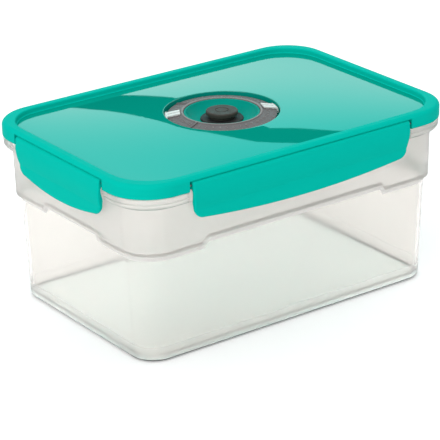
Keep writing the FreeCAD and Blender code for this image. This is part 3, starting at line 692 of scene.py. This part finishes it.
class CANISTER_OT_lid(bpy.types.Operator):
    """Lid with its rim, skirt, latch notches, crowned panel, dial well, hub and dish."""

    bl_idname = "canister.lid"
    bl_label = "Lid"

    def execute(self, context):
        sizes, colours = context.scene.canister_sizes, context.scene.canister_colours
        sections = [lid_section(column, sizes.edge / MM, sizes.well_edge / MM) for column in LID_COLUMNS]
        first, last, dished = sections[0][1:]

        def finish(k):
            """0 for the satin outside and below, 1 for the polished panel, 2 for the well and the dish,
            darkened with painted shade.
            """
            if not first <= k < dished:
                return 0
            return 1 if k < last else 2

        mesh = swept("lid_shell", [s[0] for s in sections], True, kind_of=finish)
        piece = new_piece("lid_shell", mesh)
        settle(piece, "lid", "lid", "lid_plastic",
               satin_polypropylene(colours.lid), polished_polypropylene(colours.panel),
               recess_polypropylene_painted_shade(colours.dish))
        return {"FINISHED"}


def tub_section(column, edge):
    """The tub's section at a column, from its underside up outside, over the flange, and down inside to its
    floor."""
    low, high = STEP_LOW + JOG_RISE * column.raised, STEP_HIGH + JOG_RISE * column.raised
    drift = JOG_DRIFT * column.raised
    outside = rounded([
        (FLOOR_INSET, UNDERSIDE, 0), (FOOT_INNER, UNDERSIDE, 0.6), (FOOT_INNER, 0, 0.5), (FOOT_OUTER, 0, 2.2),
        (WALL_OUTER - drift, low, 1.6), (STEP_MIDDLE - drift * STEP_DRIFT_SHARE, low + STEP_BEND, 0),
        (BAND_OUTER - drift * BAND_DRIFT_SHARE, high, 0.7), (*BAND_TOP, 0.4)])[:-1]
    inside = rounded([
        (*LIP_FOOT, 0), (LIP_OUTER, LIP_TOP, edge), (LIP_INNER, LIP_TOP, edge),
        (BAND_INNER, high + STEP_RISE, 1.0), (WALL_INNER - drift, low + STEP_RISE, 1.2), (*WALL_FOOT, 2.4),
        (MOAT_OUTER, MOAT_FLOOR, 0.8), (MOAT_INNER, MOAT_FLOOR, 0.5), (MOAT_INNER, FLOOR_TOP, 0.4),
        (FLOOR_INSET, FLOOR_TOP, 0)])[1:]
    face = [(NOTCH_FLANGE, level, 0.3) for level in NOTCH_LEVELS] if column.notch else FLANGE_FACE
    flange = rounded([
        (*FLANGE_START, 0), (*FLANGE_FOOT, 0.2), *face, (LIP_ROOT, FLANGE_TOP, 0.2), (*LIP_FOOT, 0)])[1:-1]
    return outside, flange, inside


def tub_finishes(outside, flange, inside):
    """Which finish each stretch of the tub's section has: 0 clear, 1 frosted, 2 thick step, 3 foot with its
    painted contact shade.
    """
    kinds = [0] * len(outside + flange + inside)
    foot = 1 + 2 * ARC_POINTS
    step, band = len(outside) - 2 * ARC_POINTS - 1, len(outside) - 1
    inner_step = len(outside + flange) + 2 * ARC_POINTS
    inner_wall = inner_step + 2 * ARC_POINTS - 1
    # Kind 3 gives the foot's lowest faces the dark grey of painted contact shadow.
    for kind, first, last in ((3, foot, foot + 3), (2, step, band), (1, band, inner_step),
                              (2, inner_step, inner_wall)):
        kinds[first:last] = [kind] * (last - first)
    return kinds


class CANISTER_OT_tub(bpy.types.Operator):
    """Tub with its foot ring, stepped shoulder, flange and lip."""

    bl_idname = "canister.tub"
    bl_label = "Tub"

    def execute(self, context):
        sizes, colours = context.scene.canister_sizes, context.scene.canister_colours
        sections = [tub_section(column, sizes.edge / MM) for column in TUB_COLUMNS]
        rows = []
        for column, parts in zip(TUB_COLUMNS, sections):
            rows.append([at(column, *point) for part in parts for point in part])
        kinds = tub_finishes(*sections[0])
        mesh = swept("tub_shell", rows, False, caps=True, kind_of=lambda k: kinds[k])
        piece = new_piece("tub_shell", mesh)
        settle(piece, "tub", "tub", "tub_plastic",
               clear_polypropylene(colours.tub), frosted_polypropylene(colours.band),
               edge_polypropylene(colours.tub), foot_polypropylene_painted_shade(colours.foot))
        return {"FINISHED"}


class CANISTER_OT_gasket(bpy.types.Operator):
    """Gasket in the lid's channel, with a rounded lip against the tub."""

    bl_idname = "canister.gasket"
    bl_label = "Gasket"

    def execute(self, context):
        colours = context.scene.canister_colours
        ring = rounded([
            (GASKET_MIDDLE, CHANNEL_ROOF, 0), (GASKET_OUTER, CHANNEL_ROOF, 0.3),
            (GASKET_OUTER, GASKET_BOTTOM, 0.6), (GASKET_INNER, GASKET_BOTTOM, 0.6),
            (GASKET_INNER, CHANNEL_ROOF, 0.3), (GASKET_MIDDLE, CHANNEL_ROOF, 0)])[1:-1]
        columns = [c for c in LID_COLUMNS if not (c.notch and abs(c.along) in (NOTCH_LONG, NOTCH_SHORT))]
        mesh = swept("lid_gasket_ring", [[at(c, *p) for p in ring] for c in columns], True)
        piece = new_piece("lid_gasket_ring", mesh)
        settle(piece, "lid_gasket", "lid", "silicone", pale_silicone(colours.gasket))
        return {"FINISHED"}


# A latch, in millimetres: brow over the hinge, face curving in to a crease, flared pull lip, hook inside. At
# its ends the face is drawn in by an easing, and the hinge and the back by shares of it.
LATCH_LONG = 69.3
LATCH_SHORT = 39.3
BARREL = 1.7
BROW = 2.05
BARREL_ARC = (-77, 35, 7)
BROW_ARC = (60, 96, 4)
BROW_LEVEL = 96.5
BROW_BLEND = 1.3
HINGE_SHARE = 0.5
BACK_SHARE = 0.4
EDGE_SHARE = 0.45
EDGE_STEPS = 4
END_STEPS = 5
BEND_STEPS = 12
FACE_TOP = 91.0
FACE_PROUD = 1.2
FACE_CURVE = 28.0
CREASE = 82.3
CREASE_INSET = 0.3
CREASE_EASE = 0.1
ARC_BOTTOM = 76.0
LATCH_BOTTOM = 73.8
LIP_FLARE = 0.6
BACK_TOP = 0.6
BACK_INSET = 2.1
BACK_CURVE = 26.2
BACK_FLARE = 1.2
LATCH_BOW = 3.4
LATCH_CORNER = 5.5
LATCH_TAPER = 1.2
TAPER_END = 82.7
HOOK_MARGIN = 7.0
HOOK_FADE = 3.0
LATCH_SPACING = 4.0

# Heights of a latch's points down its face and up its back, and the corners of its hook.
FACE_LEVELS = (97.25, 96.95, 96.5, 96.0, 95.4, 94.8, 94.2, 93.5, 92.8, 92.0, 91.0, 90.0, 88.8, 87.6, 86.4,
               85.4, 84.6, 83.9, 83.3, 82.8, 82.3, 81.8, 81.3, 80.6, 79.6, 78.6, 77.6, 76.6, 75.6, 74.9)
HOOK = ((BACK_INSET, 83.57), (2.9, 84.28), (3.0, 84.45), (3.0, 85.02), (2.9, 85.2), (BACK_INSET, 85.97))
BACK_LEVELS = (75.2, 76.4, 78.0, 80.0, 82.3, 83.0)
UPPER_BACK_LEVELS = (86.8, 87.8, 88.8, 90.0, 91.0, 92.0)


def on_arc(height, start, end, radius):
    """Inset at a height on the arc between two points of a section, bulging outward."""
    a, b = Vector(start), Vector(end)
    chord = b - a
    inward = Vector((-chord.y, chord.x)).normalized()
    middle = (a + b) / 2 + inward * math.sqrt(radius ** 2 - chord.length_squared / 4)
    return middle.x - math.sqrt(radius ** 2 - (height - middle.y) ** 2)


def face_inset(height):
    """Inset of a latch's outer face, with the crease eased."""
    if height >= HINGE_HEIGHT:
        return HINGE_INSET - math.sqrt(BROW ** 2 - (height - HINGE_HEIGHT) ** 2)
    if height >= FACE_TOP:
        share = smooth_step((height - FACE_TOP) / (HINGE_HEIGHT - FACE_TOP)) ** BROW_BLEND
        return -FACE_PROUD + (FACE_PROUD + HINGE_INSET - BROW) * share
    lip = CREASE_INSET - LIP_FLARE * (CREASE - height) / (CREASE - LATCH_BOTTOM)
    face = on_arc(max(height, ARC_BOTTOM), (-FACE_PROUD, FACE_TOP), (CREASE_INSET, CREASE), FACE_CURVE)
    share = min(max(0.5 + 0.5 * (lip - face) / CREASE_EASE, 0.0), 1.0)
    return lip * (1 - share) + face * share - CREASE_EASE * share * (1 - share)


def back_inset(height):
    """Inset of a latch's inner face."""
    if height >= FACE_TOP:
        return BACK_TOP
    if height >= HOOK[-1][1]:
        return on_arc(height, (BACK_TOP, FACE_TOP), HOOK[-1], BACK_CURVE)
    if height >= CREASE:
        return BACK_INSET
    return BACK_INSET - BACK_FLARE * (CREASE - height) / (CREASE - LATCH_BOTTOM)


def lower_edge(s, half):
    """Height of a latch's lower edge at a place along it."""
    low_half = half - LATCH_TAPER - LATCH_CORNER
    s = abs(s)
    if s <= low_half:
        bow = (low_half ** 2 + LATCH_BOW ** 2) / (2 * LATCH_BOW)
        return LATCH_BOTTOM + bow - math.sqrt(bow ** 2 - s ** 2)
    over = min(s - low_half, LATCH_CORNER)
    return LATCH_BOTTOM + LATCH_BOW + LATCH_CORNER - math.sqrt(LATCH_CORNER ** 2 - over ** 2)


def latch_section(s, half, ease, edge):
    """A latch's closed section at a place along it, drawn in by an easing towards its ends."""
    low = lower_edge(s, half)
    floor = low + edge
    axis = (HINGE_INSET, HINGE_HEIGHT)
    points = circle_points(axis, BARREL - HINGE_SHARE * ease, *BARREL_ARC)
    points += circle_points(axis, BROW - HINGE_SHARE * ease, *BROW_ARC)
    for height in FACE_LEVELS:
        z = max(height, floor)
        points.append((face_inset(z) + ease * (1 if height < BROW_LEVEL else HINGE_SHARE), z))
    out, back = face_inset(floor) + ease, back_inset(floor) - BACK_SHARE * ease
    reach = min(edge, EDGE_SHARE * (back - out))
    for k in range(1, EDGE_STEPS + 1):
        a = math.pi / 2 * k / EDGE_STEPS
        points.append((out + reach * (1 - math.cos(a)), floor - edge * math.sin(a)))
    for k in range(EDGE_STEPS):
        a = math.pi / 2 * k / EDGE_STEPS
        points.append((back - reach * (1 - math.sin(a)), floor - edge * math.cos(a)))
    hook = min(max((half - HOOK_MARGIN - abs(s)) / HOOK_FADE, 0.0), 1.0)
    behind = [(BACK_INSET, height, 0.0) for height in BACK_LEVELS]
    behind += [(inset, height, hook) for inset, height in HOOK]
    behind += [(BACK_INSET, height, 0.0) for height in UPPER_BACK_LEVELS]
    for inset, height, share in behind:
        z = max(height, floor)
        plain = back_inset(z) - BACK_SHARE * ease
        points.append((plain + (inset - plain) * share, z))
    return points


def latch_stops(half, edge):
    """Places along a latch and the easing of its section there."""
    low_half = half - LATCH_TAPER - LATCH_CORNER
    count = round(2 * low_half / LATCH_SPACING)
    stops = [(-low_half + 2 * low_half * k / count, 0.0) for k in range(count + 1)]
    swing = [math.pi / 2 * k / BEND_STEPS for k in range(1, BEND_STEPS)]
    bends = [low_half + LATCH_CORNER * math.sin(a) for a in swing]
    bends = [s for s in bends if s < half - LATCH_TAPER - edge]
    ends = []
    for k in range(END_STEPS + 1):
        a = math.pi / 2 * k / END_STEPS
        ends.append((half - LATCH_TAPER - edge * (1 - math.sin(a)), edge * (1 - math.cos(a))))
    outer = [(s, 0.0) for s in bends] + ends
    return [(-s, e) for s, e in reversed(outer)] + stops + outer


class CANISTER_OT_latches(bpy.types.Operator):
    """Latches on the four sides, each with its hinge barrel, crease, pull lip and hook."""

    bl_idname = "canister.latches"
    bl_label = "Latches"

    def execute(self, context):
        sizes, colours = context.scene.canister_sizes, context.scene.canister_colours
        edge = sizes.latch_edge / MM
        for turn, side in enumerate(SIDE_NAMES):
            long = turn % 2 == 0
            half, reach = (LATCH_LONG, HALF_WIDTH) if long else (LATCH_SHORT, HALF_LENGTH)
            turned = Matrix.Rotation(turn * math.pi / 2, 3, "Z")
            rows = []
            for s, ease in latch_stops(half, edge):
                row = []
                for inset, z in latch_section(s, half, ease, edge):
                    narrow = min(max((FACE_TOP - z) / (FACE_TOP - TAPER_END), 0.0), 1.0)
                    wide = half / (half - LATCH_TAPER)
                    along = s * (wide + (1 - wide) * narrow)
                    row.append(turned @ Vector((along, inset - reach, z)))
                rows.append(row)
            node = "latch_" + side
            mesh = swept(node + "_flap", rows, True, caps=True, closed_round=False)
            piece = new_piece(node + "_flap", mesh)
            settle(piece, node, node, "lid_plastic", satin_polypropylene(colours.lid))
        return {"FINISHED"}


class CANISTER_OT_hinge_pins(bpy.types.Operator):
    """Steel pins that the latches turn on."""

    bl_idname = "canister.hinge_pins"
    bl_label = "Hinge pins"

    def execute(self, context):
        material = steel_wire(context.scene.canister_colours.pin)
        for side in SIDE_NAMES:
            finish_node("hinge_pin_" + side, material)
        return {"FINISHED"}


# The date ring: radii round the dial's axis and heights in millimetres, angles in degrees.
MONTHS = 12
DAYS = 31
RING_MIDDLE = 24.0
RING_INNER = 20.4
RING_TOP = 99.3
RING_BOTTOM = WELL_FLOOR
RING_FOOT = 26.4
RING_UNDERCUT = 96.8
SCALE_INNER = 21.6
SCALE_OUTER = 29.2
SCALE_TOP = 98.9
SCALE_DROP = 1.4
SCALE_TILT = math.atan2(SCALE_DROP, SCALE_OUTER - SCALE_INNER)
FIRST_STOP = 110.0
SECOND_STOP = 197.5
STOP_MARGIN = 4.0
STOP_RADIUS = 25.3
STOP_LIFT = 0.15
STOP_SIZE = (1.2, 7.5, 0.8)
STOP_EDGE = 0.2
NUMBER_RADIUS = 24.5
MARK_RADIUS = 27.7
MARK_SIZE = (0.35, 1.3)
DIGIT_SHARE = 0.69


def scale_height(radius):
    """Height of the date ring's sloping scale."""
    return SCALE_TOP - SCALE_DROP * (radius - SCALE_INNER) / (SCALE_OUTER - SCALE_INNER)


def number_places():
    """Each number of the two scales with its angle round the dial."""
    places = []
    for count, first, last in ((MONTHS, FIRST_STOP, SECOND_STOP), (DAYS, SECOND_STOP, FIRST_STOP + 360)):
        room = last - first - 2 * STOP_MARGIN
        for k in range(count):
            places.append((str(k + 1), first + STOP_MARGIN + room * (k + 0.5) / count))
    return places


def on_dial(angle, radius, lift):
    """A frame on the scale: across along the ring, up towards the hub."""
    turn = Matrix.Rotation(math.radians(angle), 4, "Z")
    place = Matrix.Translation((radius * MM, 0, (scale_height(radius) + lift) * MM))
    lean = Matrix.Rotation(SCALE_TILT, 4, "Y")
    upright = Matrix.Rotation(math.pi / 2, 4, "Z")
    return turn @ place @ lean @ upright


def raised_numbers(height, relief):
    """One mesh of the scales' numbers and marks, standing on the sloping ring."""
    form = bmesh.new()
    for text, angle in number_places():
        curve = bpy.data.curves.new("number", "FONT")
        curve.body = text
        curve.size = height / DIGIT_SHARE
        curve.extrude = relief
        curve.align_x = "CENTER"
        curve.align_y = "CENTER"
        curve.resolution_u = 3
        letter = bpy.data.objects.new("number", curve)
        bpy.context.scene.collection.objects.link(letter)
        bpy.context.view_layer.update()
        mesh = bpy.data.meshes.new_from_object(letter.evaluated_get(bpy.context.evaluated_depsgraph_get()))
        mesh.transform(on_dial(angle, NUMBER_RADIUS, 0.0))
        form.from_mesh(mesh)
        bpy.data.objects.remove(letter)
        bpy.data.curves.remove(curve)
        bpy.data.meshes.remove(mesh)
        mark = bmesh.ops.create_cube(form, size=1.0)
        size = (MARK_SIZE[0] * MM, MARK_SIZE[1] * MM, 2 * relief, 1.0)
        shape = on_dial(angle, MARK_RADIUS, 0.0) @ Matrix.Diagonal(size)
        bmesh.ops.transform(form, matrix=shape, verts=mark["verts"])
    mesh = bpy.data.meshes.new("dial_numbers")
    form.to_mesh(mesh)
    form.free()
    return mesh


class CANISTER_OT_dial(bpy.types.Operator):
    """Date ring with its inner lip, two stops, and raised numbers on both scales."""

    bl_idname = "canister.dial"
    bl_label = "Dial"

    def execute(self, context):
        sizes, colours = context.scene.canister_sizes, context.scene.canister_colours
        small = sizes.small_edge / MM
        section = rounded([
            (RING_MIDDLE, RING_BOTTOM, 0), (RING_INNER, RING_BOTTOM, small), (RING_INNER, RING_TOP, 0.5),
            (SCALE_INNER, RING_TOP, 0.45), (SCALE_INNER, SCALE_TOP, 0.2),
            (SCALE_OUTER, SCALE_TOP - SCALE_DROP, 0.25), (SCALE_OUTER, RING_UNDERCUT, small),
            (RING_FOOT, RING_UNDERCUT, small), (RING_FOOT, RING_BOTTOM, small),
            (RING_MIDDLE, RING_BOTTOM, 0)])[1:-1]
        # The inner lip takes the marks' lighter grey: a painted highlight.
        lip = range(ARC_POINTS, 3 * ARC_POINTS)
        ring = new_piece("date_ring", lathed("date_ring", section, lambda k: 1 if k in lip else 0))
        settle(ring, "dial_ring", "lid", "dial_plastic", matte_abs(colours.dial), raised_abs_painted_highlight(colours.marks))
        for label, angle in (("first", FIRST_STOP), ("second", SECOND_STOP)):
            form = bmesh.new()
            made = bmesh.ops.create_cube(form, size=1.0)
            size = (*(length * MM for length in STOP_SIZE), 1.0)
            shape = on_dial(angle, STOP_RADIUS, STOP_LIFT) @ Matrix.Diagonal(size)
            bmesh.ops.transform(form, matrix=shape, verts=made["verts"])
            bmesh.ops.bevel(
                form, geom=form.edges[:], offset=STOP_EDGE * MM, segments=3, affect="EDGES", profile=0.5)
            mesh = bpy.data.meshes.new("dial_stop_" + label)
            form.to_mesh(mesh)
            form.free()
            for face in mesh.polygons:
                face.use_smooth = True
            stop = new_piece("dial_stop_" + label, mesh)
            stop.data.materials.append(matte_abs(colours.dial))
            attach(stop, "lid")
        numbers = new_piece("dial_numbers", raised_numbers(sizes.number_height, sizes.relief))
        numbers.data.materials.append(raised_abs_painted_highlight(colours.marks))
        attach(numbers, "lid")
        return {"FINISHED"}


class CANISTER_OT_pointers(bpy.types.Operator):
    """White pointers that slide round the date ring."""

    bl_idname = "canister.pointers"
    bl_label = "Pointers"

    def execute(self, context):
        sizes, colours = context.scene.canister_sizes, context.scene.canister_colours
        for node in ("month_pointer", "day_pointer"):
            finish_node(node, white_abs(colours.pointer), sizes.small_edge)
        return {"FINISHED"}


class CANISTER_OT_valve(bpy.types.Operator):
    """Valve knob with its stem, the seal under it and the clip below the lid."""

    bl_idname = "canister.valve"
    bl_label = "Valve"

    def execute(self, context):
        sizes, colours = context.scene.canister_sizes, context.scene.canister_colours
        grip = soft_elastomer(colours.knob)
        finish_node("valve_knob", grip, sizes.small_edge)
        finish_node("valve_seal", black_rubber_painted_shade(colours.seal), sizes.small_edge)
        finish_node("valve_retainer", grip, sizes.small_edge)
        return {"FINISHED"}


# The photograph's camera, in millimetres and degrees.
CAMERA_PLACE = (-647.0, -900.9, 495.8)
CAMERA_AZIMUTH = -35.57
CAMERA_ELEVATION = 22.49
CAMERA_ROLL = -1.25
CAMERA_LENS = 182.34


def set_camera(scene):
    """A long lens at the photograph's angle."""
    azimuth, elevation, roll = (math.radians(a) for a in (CAMERA_AZIMUTH, CAMERA_ELEVATION, CAMERA_ROLL))
    back = Vector((math.sin(azimuth) * math.cos(elevation), -math.cos(azimuth) * math.cos(elevation),
                   math.sin(elevation)))
    right = Vector((math.cos(azimuth), math.sin(azimuth), 0))
    up = back.cross(right)
    turned_right = right * math.cos(roll) + up * math.sin(roll)
    turned_up = up * math.cos(roll) - right * math.sin(roll)
    data = bpy.data.cameras.new("camera")
    data.lens = CAMERA_LENS
    data.sensor_width = 36.0
    data.clip_end = 20.0
    camera = bpy.data.objects.new("camera", data)
    scene.collection.objects.link(camera)
    turn = Matrix((turned_right, turned_up, back)).transposed().to_4x4()
    camera.matrix_world = Matrix.Translation(Vector(CAMERA_PLACE) * MM) @ turn
    scene.camera = camera


# The room: lengths in metres and strengths of light. A lamp has a place, a target, a size, the brightness of
# its face, and whether surfaces mirror it.
AMBIENT = 0.65
FLOOR_HALF = 4.0
FLOOR_DROP = 0.2 * MM
FLOOR_LIFT = 0.25
FLOOR_THROUGH = 1.4
LAMPS = {
    "key_left": ((-1.6, -0.7, 1.1), (0, 0, 0.06), (1.2, 1.2), 2.6, True),
    "upper_back": ((0.95, 1.4, 1.25), (0, 0, 0.1), (1.6, 0.9), 1.6, False),
    "overhead": ((-0.2, -0.3, 1.8), (0, 0, 0.06), (1.4, 1.4), 0.9, True),
}


def soft_box(scene, name, place, target, size, radiance, mirrored):
    """A rectangular lamp that faces a point, as bright all over as a surface of the given radiance."""
    data = bpy.data.lights.new(name, "AREA")
    data.shape = "RECTANGLE"
    data.size, data.size_y = size
    data.energy = radiance * math.pi * size[0] * size[1]
    lamp = bpy.data.objects.new(name, data)
    scene.collection.objects.link(lamp)
    way = Vector(target) - Vector(place)
    lamp.matrix_world = Matrix.Translation(place) @ way.to_track_quat("-Z", "Y").to_matrix().to_4x4()
    lamp.visible_glossy = mirrored


def set_world(scene, ambient):
    """An even pale room: white where it is seen directly, mirrored or through plastic, softer as light."""
    world = bpy.data.worlds.new("pale_room")
    world.use_nodes = True
    scene.world = world
    tree = world.node_tree
    tree.nodes.clear()
    path = add_node(tree, "ShaderNodeLightPath")
    seen = add_node(tree, "ShaderNodeMath", {"operation": "MAXIMUM"},
                    {0: path.outputs["Is Camera Ray"], 1: path.outputs["Is Glossy Ray"]})
    seen = add_node(tree, "ShaderNodeMath", {"operation": "MAXIMUM"},
                    {0: seen.outputs[0], 1: path.outputs["Is Transmission Ray"]})
    light = add_node(tree, "ShaderNodeBackground", {"Strength": ambient})
    light.inputs["Color"].default_value = (1, 1, 1, 1)
    white = add_node(tree, "ShaderNodeBackground", {"Strength": 1.0})
    white.inputs["Color"].default_value = (1, 1, 1, 1)
    mixed = add_node(tree, "ShaderNodeMixShader", {},
                     {0: seen.outputs[0], 1: light.outputs[0], 2: white.outputs[0]})
    add_node(tree, "ShaderNodeOutputWorld", {}, {"Surface": mixed.outputs[0]})


def floor_surface(colour):
    """Matt white sweep: bright enough for a white ground, dimmed only by what stands on it."""
    material, tree, shader = plain_surface(
        "matt_white_sweep", colour, {"Specular IOR Level": 0.2, "Roughness": 0.6})
    path = add_node(tree, "ShaderNodeLightPath")
    seen = add_node(tree, "ShaderNodeMath", {"operation": "MAXIMUM"},
                    {0: path.outputs["Is Camera Ray"], 1: path.outputs["Is Glossy Ray"]})
    seen = add_node(tree, "ShaderNodeMath", {"operation": "MULTIPLY_ADD", 1: FLOOR_THROUGH},
                    {0: path.outputs["Is Transmission Ray"], 2: seen.outputs[0]})
    lift = add_node(tree, "ShaderNodeMath", {"operation": "MULTIPLY", 1: FLOOR_LIFT}, {0: seen.outputs[0]})
    shader.inputs["Emission Color"].default_value = (1, 1, 1, 1)
    tree.links.new(lift.outputs[0], shader.inputs["Emission Strength"])
    return material


# A studio card behind the canister that the polished panel mirrors, with a dark gap across it. Places on the
# card are metres right and up of its middle, which stands straight ahead of the lid at the card's distance.
CARD_AZIMUTH = 54.5
CARD_ELEVATION = 20.0
CARD_DISTANCE = 3.0
CARD_CORNERS = ((-0.9, -0.75), (0.9, -0.75), (0.9, 0.65), (-0.9, 0.65))
GAP_EDGE = ((-0.36, -0.28), (-0.286, -0.176), (-0.194, -0.036), (-0.1, 0.1), (0.024, 0.223), (0.145, 0.328),
            (0.235, 0.377), (0.45, 0.5))
GAP_FAR_EDGE = ((-0.33, -0.47), (-0.261, -0.378), (-0.131, -0.234), (0.02, 0.02), (0.16, 0.224),
                (0.238, 0.253), (0.318, 0.306), (0.52, 0.43))
GAP_AHEAD = 0.03
CARD_AIM = 98.5 * MM
CARD_FOOT = "#e1e9e7"
CARD_HEAD = "#00ffff"
CARD_STRENGTH = 2.0


def card(name, outline, distance, material):
    """A flat card that only reflections see, facing the lid."""
    turn, lift = math.radians(CARD_AZIMUTH), math.radians(CARD_ELEVATION)
    ahead = Vector((math.cos(turn) * math.cos(lift), math.sin(turn) * math.cos(lift), math.sin(lift)))
    right = Vector((math.sin(turn), -math.cos(turn), 0))
    up = right.cross(ahead)
    middle = Vector((0, 0, CARD_AIM)) + ahead * distance
    share = distance / CARD_DISTANCE
    mesh = bpy.data.meshes.new(name)
    mesh.from_pydata([middle + (right * u + up * v) * share for u, v in outline], [], [range(len(outline))])
    piece = new_piece(name, mesh)
    piece.data.materials.append(material)
    for kind in ("camera", "diffuse", "transmission", "volume_scatter", "shadow"):
        setattr(piece, "visible_" + kind, False)


def card_surface(low, high, strength):
    """Lit card, fading from one colour at its foot to another at its head."""
    material = bpy.data.materials.new("lit_card")
    material.use_nodes = True
    tree = material.node_tree
    tree.nodes.clear()
    place = add_node(tree, "ShaderNodeTexCoord")
    parts = add_node(tree, "ShaderNodeSeparateXYZ", {}, {0: place.outputs["Generated"]})
    fade = add_node(tree, "ShaderNodeMix", {"data_type": "RGBA"}, {"Factor": parts.outputs["Z"]})
    fade.inputs[6].default_value = (*linear(low), 1.0)
    fade.inputs[7].default_value = (*linear(high), 1.0)
    light = add_node(tree, "ShaderNodeEmission", {"Strength": strength}, {"Color": fade.outputs[2]})
    add_node(tree, "ShaderNodeOutputMaterial", {}, {"Surface": light.outputs[0]})
    return material


def gap_surface():
    """Black cloth over the card."""
    return plain_surface("black_cloth", (0, 0, 0), {"Specular IOR Level": 0.0, "Roughness": 1.0})[0]


class CANISTER_OT_stage(bpy.types.Operator):
    """Pale floor, soft studio lamps, the card that the panel mirrors, the room and the camera."""

    bl_idname = "canister.stage"
    bl_label = "Stage"

    def execute(self, context):
        scene = context.scene
        scene.view_settings.view_transform = "Standard"
        set_camera(scene)
        set_world(scene, AMBIENT)
        form = bmesh.new()
        bmesh.ops.create_grid(form, x_segments=1, y_segments=1, size=FLOOR_HALF)
        mesh = bpy.data.meshes.new("floor")
        form.to_mesh(mesh)
        form.free()
        floor = new_piece("floor", mesh)
        floor.location.z = -FLOOR_DROP
        floor.data.materials.append(floor_surface(scene.canister_colours.floor))
        for name, settings in LAMPS.items():
            soft_box(scene, name, *settings)
        lit = card_surface(CARD_FOOT, CARD_HEAD, CARD_STRENGTH)
        card("lit_card", CARD_CORNERS, CARD_DISTANCE, lit)
        card("dark_gap", GAP_EDGE + GAP_FAR_EDGE[::-1], CARD_DISTANCE - GAP_AHEAD, gap_surface())
        return {"FINISHED"}


class CANISTER_PT_panel(bpy.types.Panel):
    """Lists the canister's pieces in the order in which they are made."""

    bl_idname = "CANISTER_PT_panel"
    bl_label = "Vacuum seal canister"
    bl_space_type = "VIEW_3D"
    bl_region_type = "UI"
    bl_category = "Canister"

    def draw(self, context):
        layout = self.layout
        for operator in OPERATORS:
            layout.operator(operator.bl_idname)
        for group in (context.scene.canister_sizes, context.scene.canister_colours):
            box = layout.box()
            for name in group.__annotations__:
                box.prop(group, name)


OPERATORS = (
    CANISTER_OT_tub,
    CANISTER_OT_lid,
    CANISTER_OT_gasket,
    CANISTER_OT_hinge_pins,
    CANISTER_OT_latches,
    CANISTER_OT_dial,
    CANISTER_OT_pointers,
    CANISTER_OT_valve,
    CANISTER_OT_stage,
)
CLASSES = (CanisterColours, CanisterSizes) + OPERATORS + (CANISTER_PT_panel,)


def register():
    for item in CLASSES:
        bpy.utils.register_class(item)
    bpy.types.Scene.canister_sizes = PointerProperty(type=CanisterSizes)
    bpy.types.Scene.canister_colours = PointerProperty(type=CanisterColours)


def unregister():
    del bpy.types.Scene.canister_colours
    del bpy.types.Scene.canister_sizes
    for item in reversed(CLASSES):
        bpy.utils.unregister_class(item)


def main():
    register()
    for operator in OPERATORS:
        group, name = operator.bl_idname.split(".")
        getattr(getattr(bpy.ops, group), name)()


if __name__ == "__main__":
    main()
